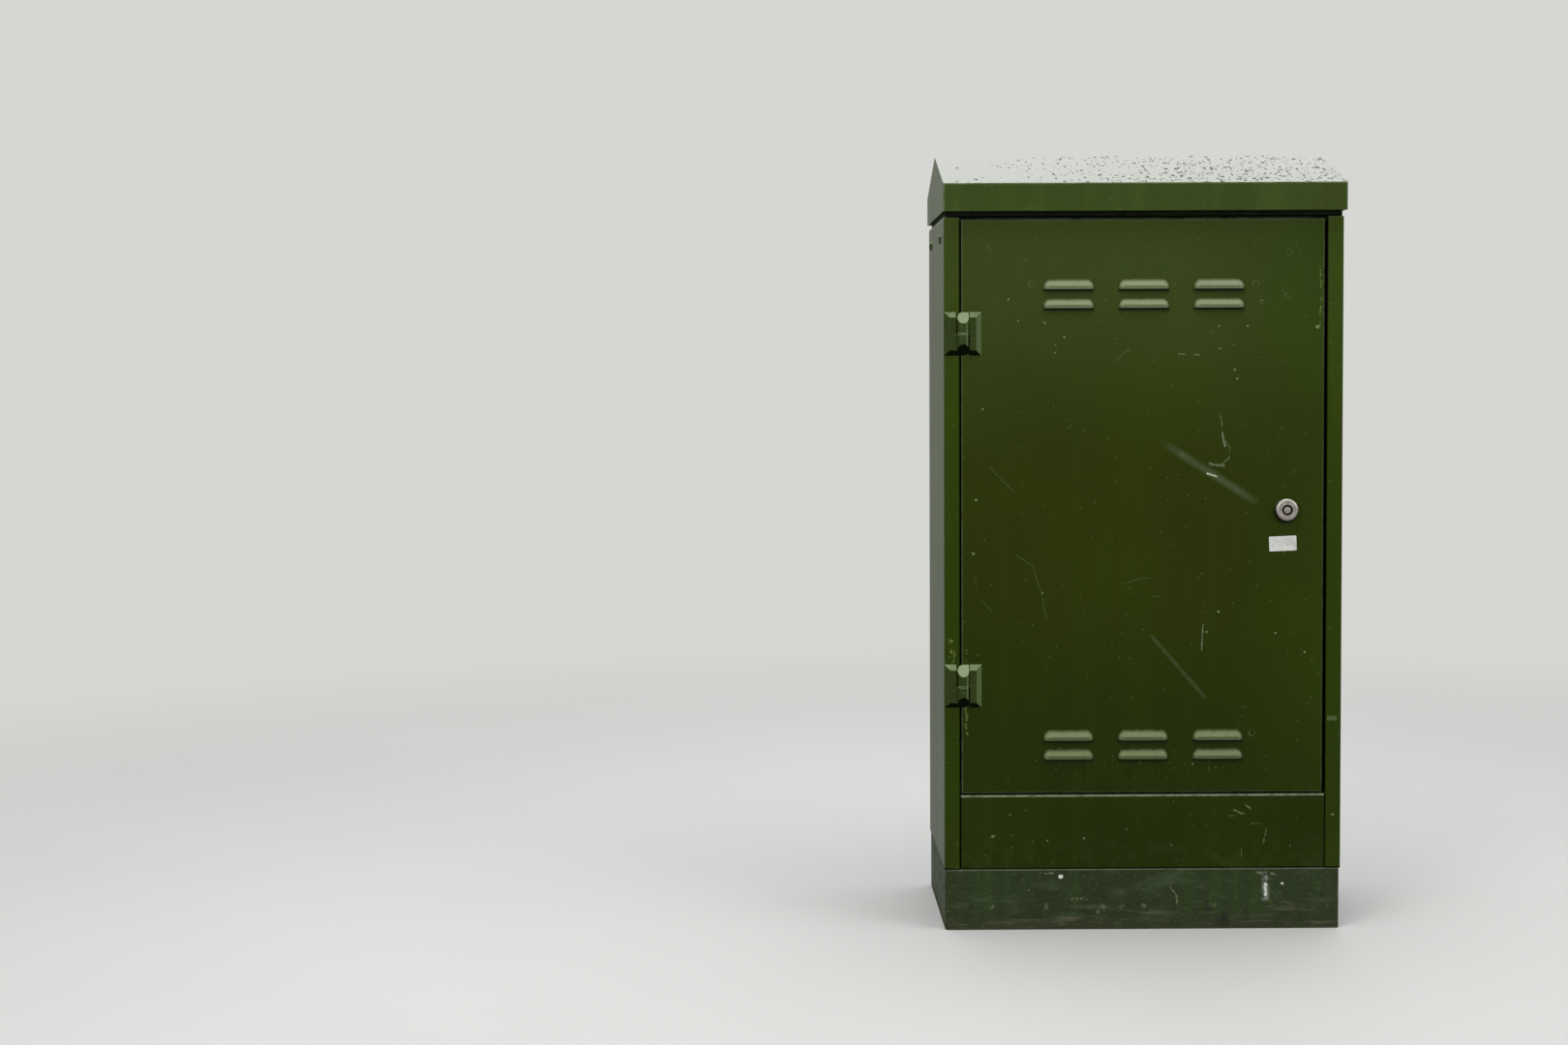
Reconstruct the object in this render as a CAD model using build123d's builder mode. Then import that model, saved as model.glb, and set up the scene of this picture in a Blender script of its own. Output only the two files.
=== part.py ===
from build123d import *
from math import atan, cos, radians
import os

os.makedirs("parts", exist_ok=True)

# A roadside utility cabinet: a folded steel body on a steel plinth, under a lift-off gable roof,
# with one front door on two block hinges and a three-point lock.
# X runs to the right along the front, Y to the back, Z up. The origin is on the ground, at the
# centre of the footprint. All sizes are millimetres.

# Body shell
body_width = 550.0
body_depth = 300.0
side_height = 901.9
sheet = 2.0
bend_radius = 3.0
stile_width = 21.8
rear_return = 20.0
rebate_set_back = 26.0
rebate_flange = 17.2
bottom_flange = 28.0
bottom_flange_clear = 30.0
fold_depth = 25.0
lap_clearance = 0.5
side_top_chamfer = 0.8

# Plinth
plinth_height = 84.6
plinth_sheet = 3.0
plinth_inset = 1.3
plinth_flange = 38.0
plinth_corner_radius = 5.0
anchor_inset_x = 58.7
anchor_inset_y = 20.7
anchor_hole_radius = 7.0

# Roof
roof_overhang_side = 1.5
roof_overhang_front = 16.0
roof_gap = 7.7
roof_lip_height = 38.0
ridge_rise = 49.8
roof_corner_radius = 3.5
roof_return = 12.0
bearer_sheet = 3.0
bearer_drop = 46.5
bearer_front_clear = 4.0
bearer_rear_clear = 32.0
roof_bolt_spacing = 186.0
roof_bolt_drop = 27.0

# Kick panel and rails
kick_height = 103.6
kick_side_gap = 1.7
kick_hook = 22.0
rail_drop = 56.6
rail_fold = 22.0
header_gap = 1.5
header_rise = 32.0
rebate_overlap_top = 14.6
rebate_overlap_bottom = 15.0
lap_tab = 14.0

# Door
door_height = 791.0
door_gap_hinge = 2.6
door_gap_lock = 4.8
door_gap_bottom = 3.4
door_fold = 20.0
door_return = 14.0
door_edge_radius = 2.0
seal_inset = 2.5
seal_width = 8.0
seal_clearance = 0.3

# Pressed louvres, in two groups on the door
louvre_length = 71.0
louvre_height = 14.0
louvre_rise = 7.0
louvre_corner_radius = 11.0
louvre_crown_height = 5.0
louvre_crown_inset = 5.5
louvre_crown_radius = 3.5
louvre_crease_radius = 2.5
louvre_wall = 1.6
louvre_pitch_x = 103.3
louvre_pitch_z = 26.0
louvre_columns = 3
louvre_rows = 2
upper_louvres_drop = 95.1
lower_louvres_rise = 73.4
baffle_margin = 8.0
baffle_depth = 9.0
baffle_flange = 10.0
baffle_sheet = 1.0

# Block hinges
hinge_height = 60.0
hinge_drop = 155.6
hinge_spacing = 486.0
hinge_leaf_reach = 25.7
hinge_leaf_thickness = 7.5
hinge_axis_proud = 8.0
knuckle_radius = 7.7
knuckle_gap = 1.35
hinge_axis_inset = 26.0
hinge_pin_radius = 4.0
hinge_pin_reach = 14.0
hinge_bore_depth = 15.0
running_clearance = 0.05
press_clearance = 0.01
washer_thickness = 1.0
washer_clearance = 0.3
hinge_stud_spacing = 34.0
hinge_stud_radius = 3.0
hinge_stud_length = 9.0
hinge_stud_inset = 10.5
stud_clearance = 0.3
nut_width = 10.0
nut_height = 5.0

# Three-point lock
lock_edge_distance = 51.4
lock_rise = 391.4
bezel_radius = 15.5
bezel_proud = 9.0
bezel_edge_radius = 2.6
core_radius = 6.7
core_sink = 0.5
barrel_radius = 11.0
barrel_clearance = 0.3
lock_nut_width = 27.0
lock_nut_height = 3.5
keyway_post_radius = 4.9
keyway_depth = 6.0
keyway_notch_width = 1.6
keyway_notch_depth = 1.0
shank_side = 8.0
cam_thickness = 3.0
cam_clearance = 1.0
cam_hub_radius = 13.0
cam_stud_radius = 3.0
cam_throw_radius = 16.0
tongue_length = 50.0
tongue_width = 16.0
cam_screw_head_radius = 4.0
cam_screw_head_height = 2.2
cam_screw_radius = 2.0
cam_screw_length = 10.0
rod_width = 20.0
rod_thickness = 4.0
rod_layer_clearance = 0.5
rod_offset = 15.0
rod_slot_clearance = 0.6
rod_end_margin = 7.0
rod_tip_clearance = 6.0
rod_tip_chamfer = 5.0
guide_clearance = 0.3
guide_wall = 3.0
guide_length = 16.0
guide_foot = 9.0
guide_foot_height = 4.0
upper_guide_offsets = (80.0, 320.0)
lower_guide_offsets = (90.0, 330.0)
stiffener_depth = 22.0
stiffener_crown = 72.0
stiffener_flange = 10.0
stiffener_end_gap = 25.0

# Fasteners of the body
plinth_bolt_spacing_y = 170.0
plinth_bolt_inset = 19.0
plinth_bolt_radius = 5.0
plinth_bolt_head = 17.0
plinth_bolt_head_height = 6.4
plinth_nut_height = 8.0
bolt_clearance = 0.5
roof_bolt_radius = 4.0
roof_bolt_head_radius = 6.5
roof_bolt_head_height = 3.5
roof_nut_width = 13.0
roof_nut_height = 6.5
thread_relief = 0.05

# Gland plate
gland_margin = 1.0
gland_tongue_lap = 15.0
gland_tongue_inset = 4.0
grommet_spacing = 130.0
grommet_count = 3
grommet_hole_radius = 25.0
grommet_lip = 5.0
grommet_lip_height = 3.0
grommet_clearance = 0.3
grommet_cone_height = 10.0
grommet_cone_radius = 12.0

# Equipment plate, rails, terminals and earth bar
plate_width = 440.0
plate_height = 700.0
plate_sheet = 3.0
plate_rise = 80.0
standoff_length = 25.0
standoff_radius = 7.0
plate_hole_margin = 20.0
plate_screw_radius = 3.0
plate_screw_head_radius = 5.5
plate_screw_head_height = 3.0
din_width = 35.0
din_depth = 7.5
din_top = 27.0
din_sheet = 1.0
din_length = 400.0
upper_din_rise = 520.0
lower_din_rise = 280.0
terminal_width = 10.0
terminal_count = 12
terminal_height = 52.0
terminal_depth = 40.0
terminal_shoulder = 14.0
earth_bar_length = 200.0
earth_bar_height = 12.0
earth_bar_depth = 6.0
earth_bar_rise = 90.0
earth_screw_count = 8
earth_screw_spacing = 22.0
earth_screw_head_radius = 4.5
earth_screw_head_height = 3.0
insulator_spacing = 190.0
insulator_radius = 8.0
insulator_height = 18.0

# Levels and planes worked out from the driving sizes
half_width = body_width / 2
half_depth = body_depth / 2
inner_bend = bend_radius - sheet
side_top = plinth_height + side_height
opening_half = half_width - stile_width
rebate_y = -half_depth + rebate_set_back
rebate_half = opening_half - rebate_flange
kick_top = plinth_height + kick_height
door_bottom = kick_top + door_gap_bottom
door_top = door_bottom + door_height
door_left = -opening_half + door_gap_hinge
door_right = opening_half - door_gap_lock
door_width = door_right - door_left
door_centre_x = (door_left + door_right) / 2
door_centre_z = (door_bottom + door_top) / 2
door_back_y = -half_depth + door_fold
header_level = side_top + header_gap
lip_bottom = side_top + roof_gap
lip_top = lip_bottom + roof_lip_height
ridge_level = lip_top + ridge_rise
roof_half_width = half_width + roof_overhang_side
roof_half_depth = half_depth + roof_overhang_front
roof_slope = ridge_rise / roof_half_depth
slope_sheet = sheet / cos(atan(roof_slope))
bearer_bottom = side_top - bearer_drop
roof_bolt_level = side_top - roof_bolt_drop
hinge_x = -half_width + hinge_axis_inset
hinge_y = -half_depth - hinge_axis_proud
upper_hinge_z = door_top - hinge_drop
lower_hinge_z = upper_hinge_z - hinge_spacing
lock_x = door_right - lock_edge_distance
lock_z = door_bottom + lock_rise
stiffener_back_y = -half_depth + sheet + stiffener_depth
barrel_back_y = stiffener_back_y + lock_nut_height
cam_front_y = barrel_back_y + cam_clearance
cam_back_y = cam_front_y + cam_thickness
rod_front_y = cam_back_y + rod_layer_clearance
rod_back_y = rod_front_y + rod_thickness
gland_level = plinth_height + sheet
plate_back_y = half_depth - 2 * sheet - standoff_length
plate_front_y = plate_back_y - plate_sheet
plate_bottom = plinth_height + plate_rise
plate_centre_z = plate_bottom + plate_height / 2

front_plane = Plane.XZ.offset(half_depth)


def roof_underside(y):
    # Height of the sloping roof sheet's lower face at a distance y from the ridge line.
    return ridge_level - slope_sheet - abs(y) * roof_slope


def save(part, name):
    part.label = name
    export_step(part, f"parts/{name}.step")


def facing(y):
    # Sketch plane at depth y, with its own X to the right, Y up and its normal to the front.
    return Plane.XZ.offset(-y)


# Plinth: one welded frame with inward flanges at the top and bottom
plinth_width = body_width - 2 * plinth_inset
plinth_depth = body_depth - 2 * plinth_inset
plinth_bolt_spacing_x = plinth_width - 2 * plinth_bolt_inset
with BuildPart() as plinth:
    with BuildSketch():
        RectangleRounded(plinth_width, plinth_depth, plinth_corner_radius)
    extrude(amount=plinth_height)
    with BuildSketch(Plane.XY.offset(plinth_sheet)):
        RectangleRounded(
            plinth_width - 2 * plinth_sheet,
            plinth_depth - 2 * plinth_sheet,
            plinth_corner_radius - plinth_sheet,
        )
    extrude(amount=plinth_height - 2 * plinth_sheet, mode=Mode.SUBTRACT)
    with BuildSketch():
        Rectangle(plinth_width - 2 * plinth_flange, plinth_depth - 2 * plinth_flange)
    extrude(amount=plinth_height, mode=Mode.SUBTRACT)
    with BuildSketch():
        with GridLocations(plinth_width - 2 * anchor_inset_x, plinth_depth - 2 * anchor_inset_y, 2, 2):
            Circle(anchor_hole_radius)
    extrude(amount=plinth_sheet, mode=Mode.SUBTRACT)
    with BuildSketch(Plane.XY.offset(plinth_height - plinth_sheet)):
        with GridLocations(plinth_bolt_spacing_x, plinth_bolt_spacing_y, 2, 2):
            Circle(plinth_bolt_radius + bolt_clearance)
    extrude(amount=plinth_sheet, mode=Mode.SUBTRACT)
save(plinth.part, "plinth")


# Side panels: one folded sheet each, with the door stile, jamb and rebate flange at the front
for side_name, hand in (("left_side", -1), ("right_side", 1)):
    with BuildPart() as side_panel:
        with BuildSketch(Plane.XY.offset(plinth_height)):
            with BuildLine():
                FilletPolyline(
                    (hand * (half_width - rear_return), half_depth),
                    (hand * half_width, half_depth),
                    (hand * half_width, -half_depth),
                    (hand * opening_half, -half_depth),
                    (hand * opening_half, rebate_y),
                    (hand * rebate_half, rebate_y),
                    radius=[bend_radius, bend_radius, bend_radius, inner_bend],
                )
                offset(amount=sheet, side=Side.RIGHT if hand > 0 else Side.LEFT)
            make_face()
        extrude(amount=side_height)
        with BuildSketch(Plane.XY.offset(plinth_height)):
            with Locations((hand * (half_width - sheet - bottom_flange / 2), 0)):
                Rectangle(bottom_flange, body_depth - 2 * bottom_flange_clear)
        extrude(amount=sheet)
        top_edges = (
            side_panel.edges()
            .group_by(Axis.Z)[-1]
            .filter_by(lambda e: abs(e.center().X) > half_width - inner_bend)
        )
        chamfer(top_edges, side_top_chamfer)
        with BuildSketch(Plane.XY.offset(plinth_height)):
            with Locations((hand * plinth_bolt_spacing_x / 2, 0)):
                with GridLocations(0, plinth_bolt_spacing_y, 1, 2):
                    Circle(plinth_bolt_radius + bolt_clearance)
        extrude(amount=sheet, mode=Mode.SUBTRACT)
        with BuildSketch(Plane.YZ.offset(hand * half_width)):
            with Locations((0, roof_bolt_level)):
                with GridLocations(roof_bolt_spacing, 0, 2, 1):
                    Circle(roof_bolt_radius + bolt_clearance)
        extrude(amount=-hand * sheet, mode=Mode.SUBTRACT)
        if hand < 0:
            with BuildSketch(front_plane):
                for hinge_z in (upper_hinge_z, lower_hinge_z):
                    with Locations((hinge_x - knuckle_radius - hinge_stud_inset + knuckle_gap, hinge_z)):
                        with GridLocations(0, hinge_stud_spacing, 1, 2):
                            Circle(hinge_stud_radius + stud_clearance)
            extrude(amount=-sheet, mode=Mode.SUBTRACT)
    save(side_panel.part, side_name)


# Back panel: welded inside the rear returns, folded in at the top and bottom
back_outer_y = half_depth - sheet
back_half = half_width - sheet - inner_bend
with BuildPart() as back_panel:
    with BuildSketch(Plane.YZ.offset(-back_half)):
        with BuildLine():
            FilletPolyline(
                (back_outer_y - fold_depth, side_top),
                (back_outer_y, side_top),
                (back_outer_y, plinth_height),
                (back_outer_y - fold_depth, plinth_height),
                radius=bend_radius,
            )
            offset(amount=sheet, side=Side.RIGHT)
        make_face()
    extrude(amount=2 * back_half)
save(back_panel.part, "back_panel")


# Header rail: closes the front above the door and carries the upper rebate flange
header_half = half_width - sheet - bearer_sheet
rail_half = rebate_half - lap_clearance
flange_bottom = door_top - rebate_overlap_top
notch_top = side_top + header_gap / 2
with BuildPart() as header_rail:
    with BuildSketch(Plane.YZ.offset(-header_half)):
        with BuildLine():
            FilletPolyline(
                (-half_depth + sheet, header_level + header_rise),
                (-half_depth + sheet, header_level),
                (rebate_y, header_level),
                (rebate_y, flange_bottom),
                radius=[bend_radius, inner_bend],
            )
            offset(amount=sheet, side=Side.LEFT)
        make_face()
    extrude(amount=2 * header_half)
    with BuildSketch(facing(-half_depth)):
        for hand in (-1, 1):
            with Locations((hand * (header_half + rail_half) / 2, (notch_top + flange_bottom) / 2)):
                Rectangle(header_half - rail_half, notch_top - flange_bottom)
    extrude(amount=-body_depth / 2, mode=Mode.SUBTRACT)
    with BuildSketch(facing(rebate_y + sheet)):
        for hand in (-1, 1):
            with Locations((hand * rail_half, (header_level + flange_bottom) / 2)):
                Rectangle(2 * lap_tab, header_level - flange_bottom)
    extrude(amount=-sheet)
save(header_rail.part, "header_rail")


# Threshold rail: the rebate below the door, which also holds the top of the kick panel
rail_top = door_bottom + rebate_overlap_bottom
with BuildPart() as threshold_rail:
    with BuildSketch(Plane.YZ.offset(-rail_half)):
        with BuildLine():
            FilletPolyline(
                (rebate_y, rail_top),
                (rebate_y, rail_top - rail_drop),
                (rebate_y + rail_fold, rail_top - rail_drop),
                radius=bend_radius,
            )
            offset(amount=sheet, side=Side.LEFT)
        make_face()
    extrude(amount=2 * rail_half)
    with BuildSketch(facing(rebate_y + sheet)):
        for hand in (-1, 1):
            with Locations((hand * rail_half, rail_top - rail_drop / 2)):
                Rectangle(2 * lap_tab, rail_drop - 2 * bend_radius)
    extrude(amount=-sheet)
save(threshold_rail.part, "threshold_rail")


# Kick panel: folded back at the top, hooked down in front of the threshold rail, with its lower fold
# held down on the plinth by the front tongue of the gland plate
kick_half = opening_half - kick_side_gap
with BuildPart() as kick_panel:
    with BuildSketch(Plane.YZ.offset(-kick_half)):
        with BuildLine():
            FilletPolyline(
                (rebate_y, kick_top - kick_hook),
                (rebate_y, kick_top),
                (-half_depth, kick_top),
                (-half_depth, plinth_height),
                (-half_depth + fold_depth, plinth_height),
                radius=bend_radius,
            )
            offset(amount=sheet, side=Side.LEFT)
        make_face()
    extrude(amount=2 * kick_half)
save(kick_panel.part, "kick_panel")


# Roof: one folded and welded gable cap, with drip lips at the front and rear
with BuildPart() as roof:
    with BuildSketch(Plane.YZ.offset(-roof_half_width)):
        with BuildLine():
            Polyline(
                (-roof_half_depth, lip_bottom),
                (-roof_half_depth, lip_top),
                (0, ridge_level),
                (roof_half_depth, lip_top),
                (roof_half_depth, lip_bottom),
                close=True,
            )
        make_face()
    extrude(amount=2 * roof_half_width)
    corner_edges = roof.edges().filter_by(Axis.Z)
    fillet(corner_edges, roof_corner_radius)
    with BuildSketch(Plane.YZ.offset(-roof_half_width + sheet)):
        with BuildLine():
            Polyline(
                (-roof_half_depth + sheet, lip_bottom + sheet),
                (-roof_half_depth + sheet, roof_underside(roof_half_depth - sheet)),
                (0, roof_underside(0)),
                (roof_half_depth - sheet, roof_underside(roof_half_depth - sheet)),
                (roof_half_depth - sheet, lip_bottom + sheet),
                close=True,
            )
        make_face()
    extrude(amount=2 * (roof_half_width - sheet), mode=Mode.SUBTRACT)
    with BuildSketch(Plane.XY.offset(lip_bottom)):
        Rectangle(2 * (roof_half_width - sheet), 2 * (roof_half_depth - roof_return))
    extrude(amount=2 * sheet, mode=Mode.SUBTRACT)
save(roof.part, "roof")


# Roof bearers: gable plates under the roof sheet, bolted through the side panels
for bearer_name, hand in (("roof_bearer_left", -1), ("roof_bearer_right", 1)):
    bearer_front_y = -half_depth + bearer_front_clear
    bearer_rear_y = half_depth - bearer_rear_clear
    with BuildPart() as roof_bearer:
        with BuildSketch(Plane.YZ.offset(hand * (half_width - sheet))):
            with BuildLine():
                Polyline(
                    (bearer_front_y, bearer_bottom),
                    (bearer_front_y, roof_underside(bearer_front_y)),
                    (0, roof_underside(0)),
                    (bearer_rear_y, roof_underside(bearer_rear_y)),
                    (bearer_rear_y, bearer_bottom),
                    close=True,
                )
            make_face()
            with Locations((0, roof_bolt_level)):
                with GridLocations(roof_bolt_spacing, 0, 2, 1):
                    Circle(roof_bolt_radius + bolt_clearance, mode=Mode.SUBTRACT)
        extrude(amount=-hand * bearer_sheet)
    save(roof_bearer.part, bearer_name)


# Roof bolts and nuts: domed tamper-proof heads outside, hexagon nuts inside
with BuildPart() as roof_bolts:
    for hand in (-1, 1):
        for bolt_y in (-roof_bolt_spacing / 2, roof_bolt_spacing / 2):
            bolt_plane = Plane(
                (hand * half_width, bolt_y, roof_bolt_level), x_dir=(0, 0, 1), z_dir=(hand, 0, 0)
            )
            shank_end = -(sheet + bearer_sheet + roof_nut_height)
            with BuildSketch(Plane(bolt_plane.origin, x_dir=(hand, 0, 0), z_dir=(0, 1, 0))):
                with BuildLine():
                    Polyline((shank_end, 0), (roof_bolt_head_height, 0))
                    ThreePointArc(
                        (roof_bolt_head_height, 0),
                        (roof_bolt_head_height * 0.78, roof_bolt_head_radius * 0.6),
                        (0, roof_bolt_head_radius),
                    )
                    Polyline(
                        (0, roof_bolt_head_radius),
                        (0, roof_bolt_radius),
                        (shank_end, roof_bolt_radius),
                        (shank_end, 0),
                    )
                make_face()
            revolve(axis=Axis(bolt_plane.origin, (hand, 0, 0)))
save(roof_bolts.part, "roof_bolts")

with BuildPart() as roof_nuts:
    for hand in (-1, 1):
        with BuildSketch(Plane.YZ.offset(hand * (half_width - sheet - bearer_sheet))):
            with Locations((0, roof_bolt_level)):
                with GridLocations(roof_bolt_spacing, 0, 2, 1):
                    RegularPolygon(roof_nut_width / 2, 6, major_radius=False)
                    Circle(roof_bolt_radius + thread_relief, mode=Mode.SUBTRACT)
        extrude(amount=-hand * roof_nut_height)
save(roof_nuts.part, "roof_nuts")


# Gland plate across the base, with a tongue over the kick panel's lower fold and blind grommets for
# incoming cables
gland_half_x = half_width - sheet - gland_margin
gland_half_y = half_depth - bottom_flange_clear
gland_tongue_y = -half_depth + fold_depth - gland_tongue_lap
with BuildPart() as gland_plate:
    with BuildSketch(Plane.XY.offset(gland_level)):
        Rectangle(2 * gland_half_x, 2 * gland_half_y)
        with Locations((0, (gland_tongue_y - gland_half_y) / 2)):
            Rectangle(2 * rail_half - 2 * gland_tongue_inset, -gland_half_y - gland_tongue_y)
        with GridLocations(grommet_spacing, 0, grommet_count, 1):
            Circle(grommet_hole_radius, mode=Mode.SUBTRACT)
        with GridLocations(plinth_bolt_spacing_x, plinth_bolt_spacing_y, 2, 2):
            Circle(plinth_bolt_radius + bolt_clearance, mode=Mode.SUBTRACT)
    extrude(amount=sheet)
save(gland_plate.part, "gland_plate")

neck_radius = grommet_hole_radius - grommet_clearance
lip_radius = grommet_hole_radius + grommet_lip
with BuildPart() as cable_grommets:
    for grommet_index in range(grommet_count):
        grommet_x = (grommet_index - (grommet_count - 1) / 2) * grommet_spacing
        lower_face = -grommet_clearance
        upper_face = sheet + grommet_clearance
        with BuildSketch(Plane((grommet_x, 0, gland_level), x_dir=(1, 0, 0), z_dir=(0, -1, 0))):
            with BuildLine():
                Polyline(
                    (0, upper_face + grommet_cone_height),
                    (grommet_cone_radius, upper_face),
                    (neck_radius - grommet_lip, upper_face),
                    (lip_radius, upper_face + grommet_lip_height),
                    (lip_radius, upper_face),
                    (neck_radius, upper_face),
                    (neck_radius, lower_face),
                    (lip_radius, lower_face),
                    (neck_radius, lower_face - grommet_lip_height),
                    (0, lower_face - grommet_lip_height),
                    close=True,
                )
            make_face()
        revolve(axis=Axis((grommet_x, 0, gland_level), (0, 0, 1)))
save(cable_grommets.part, "cable_grommets")


# Bolts that hold the gland plate and side flanges down on the plinth
bolt_top = gland_level + sheet
bolt_bottom = plinth_height - plinth_sheet
with BuildPart() as plinth_bolts:
    with BuildSketch(Plane.XY.offset(bolt_top)):
        with GridLocations(plinth_bolt_spacing_x, plinth_bolt_spacing_y, 2, 2):
            RegularPolygon(plinth_bolt_head / 2, 6, major_radius=False)
    extrude(amount=plinth_bolt_head_height)
    with BuildSketch(Plane.XY.offset(bolt_top)):
        with GridLocations(plinth_bolt_spacing_x, plinth_bolt_spacing_y, 2, 2):
            Circle(plinth_bolt_radius)
    extrude(amount=bolt_bottom - plinth_nut_height - bolt_top)
save(plinth_bolts.part, "plinth_bolts")

with BuildPart() as plinth_nuts:
    with BuildSketch(Plane.XY.offset(bolt_bottom)):
        with GridLocations(plinth_bolt_spacing_x, plinth_bolt_spacing_y, 2, 2):
            RegularPolygon(plinth_bolt_head / 2, 6, major_radius=False)
            Circle(plinth_bolt_radius + thread_relief, mode=Mode.SUBTRACT)
    extrude(amount=-plinth_nut_height)
save(plinth_nuts.part, "plinth_nuts")


# One pressed louvre, as the metal it adds in front of the sheet and the void behind it.
# It is drawn at the middle of its lower edge and placed on the door later.
def louvre_outline(length, height, radius):
    with BuildSketch(mode=Mode.PRIVATE) as outline:
        with Locations((0, height / 2)):
            Rectangle(length, height)
        fillet(outline.vertices().group_by(Axis.Y)[-1], radius)
    return outline.sketch


def louvre_form(back, front, wall, overrun):
    base = louvre_outline(
        louvre_length - 2 * wall, louvre_height - wall + overrun, louvre_corner_radius - wall
    )
    crown = louvre_outline(
        louvre_length - 2 * louvre_crown_inset - 2 * wall,
        louvre_crown_height - wall + overrun,
        louvre_crown_radius - wall,
    )
    drop = Pos(0, -overrun, 0)
    return loft([(Pos(0, 0, back) * drop * base).face(), (Pos(0, 0, front) * drop * crown).face()])


sharp_hood = louvre_form(0, louvre_rise, 0, 0)
crown_edges = sharp_hood.edges().group_by(Axis.Z)[-1].sort_by(Axis.Y)
hood = fillet(crown_edges[1:], louvre_crease_radius)
hood_void = louvre_form(-sheet, louvre_rise - louvre_wall, louvre_wall, louvre_wall / 2)


# Door panel: a folded pan with return flanges at the back and two groups of pressed louvres
louvre_groups = (
    door_top - upper_louvres_drop,
    door_bottom + lower_louvres_rise,
)
with BuildPart() as door_panel:
    with BuildSketch(front_plane):
        with Locations((door_centre_x, door_centre_z)):
            Rectangle(door_width, door_height)
    extrude(amount=-door_fold)
    fillet(door_panel.faces().sort_by(Axis.Y)[0].edges(), door_edge_radius)
    with BuildSketch(facing(-half_depth + sheet)):
        with Locations((door_centre_x, door_centre_z)):
            Rectangle(door_width - 2 * sheet, door_height - 2 * sheet)
    extrude(amount=-(door_fold - 2 * sheet), mode=Mode.SUBTRACT)
    with BuildSketch(facing(-half_depth + sheet)):
        with Locations((door_centre_x, door_centre_z)):
            Rectangle(door_width - 2 * door_return, door_height - 2 * door_return)
    extrude(amount=-door_fold, mode=Mode.SUBTRACT)
    for group_z in louvre_groups:
        for row in range(louvre_rows):
            for column in range(louvre_columns):
                louvre_x = (column - (louvre_columns - 1) / 2) * louvre_pitch_x
                louvre_z = group_z - row * louvre_pitch_z
                place = front_plane * Pos(louvre_x, louvre_z, 0)
                add(place * hood)
                add(place * hood_void, mode=Mode.SUBTRACT)
    with BuildSketch(front_plane):
        for hinge_z in (upper_hinge_z, lower_hinge_z):
            with Locations((hinge_x + knuckle_radius + hinge_stud_inset - knuckle_gap, hinge_z)):
                with GridLocations(0, hinge_stud_spacing, 1, 2):
                    Circle(hinge_stud_radius + stud_clearance)
        with Locations((lock_x, lock_z)):
            Circle(barrel_radius + barrel_clearance)
    extrude(amount=-sheet, mode=Mode.SUBTRACT)
save(door_panel.part, "door_panel")


# Rain baffles behind the louvres: shallow folded trays, open along the bottom
baffle_half = (louvre_columns - 1) / 2 * louvre_pitch_x + louvre_length / 2 + baffle_margin
for baffle_name, group_z in zip(("vent_baffle_upper", "vent_baffle_lower"), louvre_groups):
    baffle_top = group_z + louvre_height + baffle_margin + baffle_flange
    baffle_bottom = group_z - (louvre_rows - 1) * louvre_pitch_z - baffle_margin
    baffle_front_y = -half_depth + sheet
    with BuildPart() as vent_baffle:
        with BuildSketch(Plane.YZ.offset(-baffle_half)):
            with BuildLine():
                Polyline(
                    (baffle_front_y, baffle_top),
                    (baffle_front_y, baffle_top - baffle_flange),
                    (baffle_front_y + baffle_depth, baffle_top - baffle_flange - baffle_depth / 2),
                    (baffle_front_y + baffle_depth, baffle_bottom),
                )
                offset(amount=baffle_sheet, side=Side.LEFT)
            make_face()
        extrude(amount=2 * baffle_half)
    save(vent_baffle.part, baffle_name)


# Door stiffener: a hat section behind the lock, which also carries the rod guides
stiffener_bottom = door_bottom + stiffener_end_gap
stiffener_top = door_top - stiffener_end_gap
with BuildPart() as door_stiffener:
    with BuildSketch(Plane.XY.offset(stiffener_bottom)):
        with BuildLine():
            FilletPolyline(
                (lock_x - stiffener_crown / 2 - stiffener_flange, -half_depth + 2 * sheet),
                (lock_x - stiffener_crown / 2, -half_depth + 2 * sheet),
                (lock_x - stiffener_crown / 2, stiffener_back_y),
                (lock_x + stiffener_crown / 2, stiffener_back_y),
                (lock_x + stiffener_crown / 2, -half_depth + 2 * sheet),
                (lock_x + stiffener_crown / 2 + stiffener_flange, -half_depth + 2 * sheet),
                radius=[inner_bend, bend_radius, bend_radius, inner_bend],
            )
            offset(amount=sheet, side=Side.RIGHT)
        make_face()
    extrude(amount=stiffener_top - stiffener_bottom)
    with BuildSketch(facing(stiffener_back_y)):
        with Locations((lock_x, lock_z)):
            Circle(barrel_radius + barrel_clearance)
    extrude(amount=sheet, mode=Mode.SUBTRACT)
save(door_stiffener.part, "door_stiffener")


# Door seal: a foam strip on the return flanges, just clear of the frame when the door is shut
with BuildPart() as door_seal:
    with BuildSketch(facing(door_back_y)):
        with Locations((door_centre_x, door_centre_z)):
            Rectangle(door_width - 2 * seal_inset, door_height - 2 * seal_inset)
            Rectangle(
                door_width - 2 * (seal_inset + seal_width),
                door_height - 2 * (seal_inset + seal_width),
                mode=Mode.SUBTRACT,
            )
    extrude(amount=-(rebate_y - door_back_y - seal_clearance))
save(door_seal.part, "door_seal")


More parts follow.
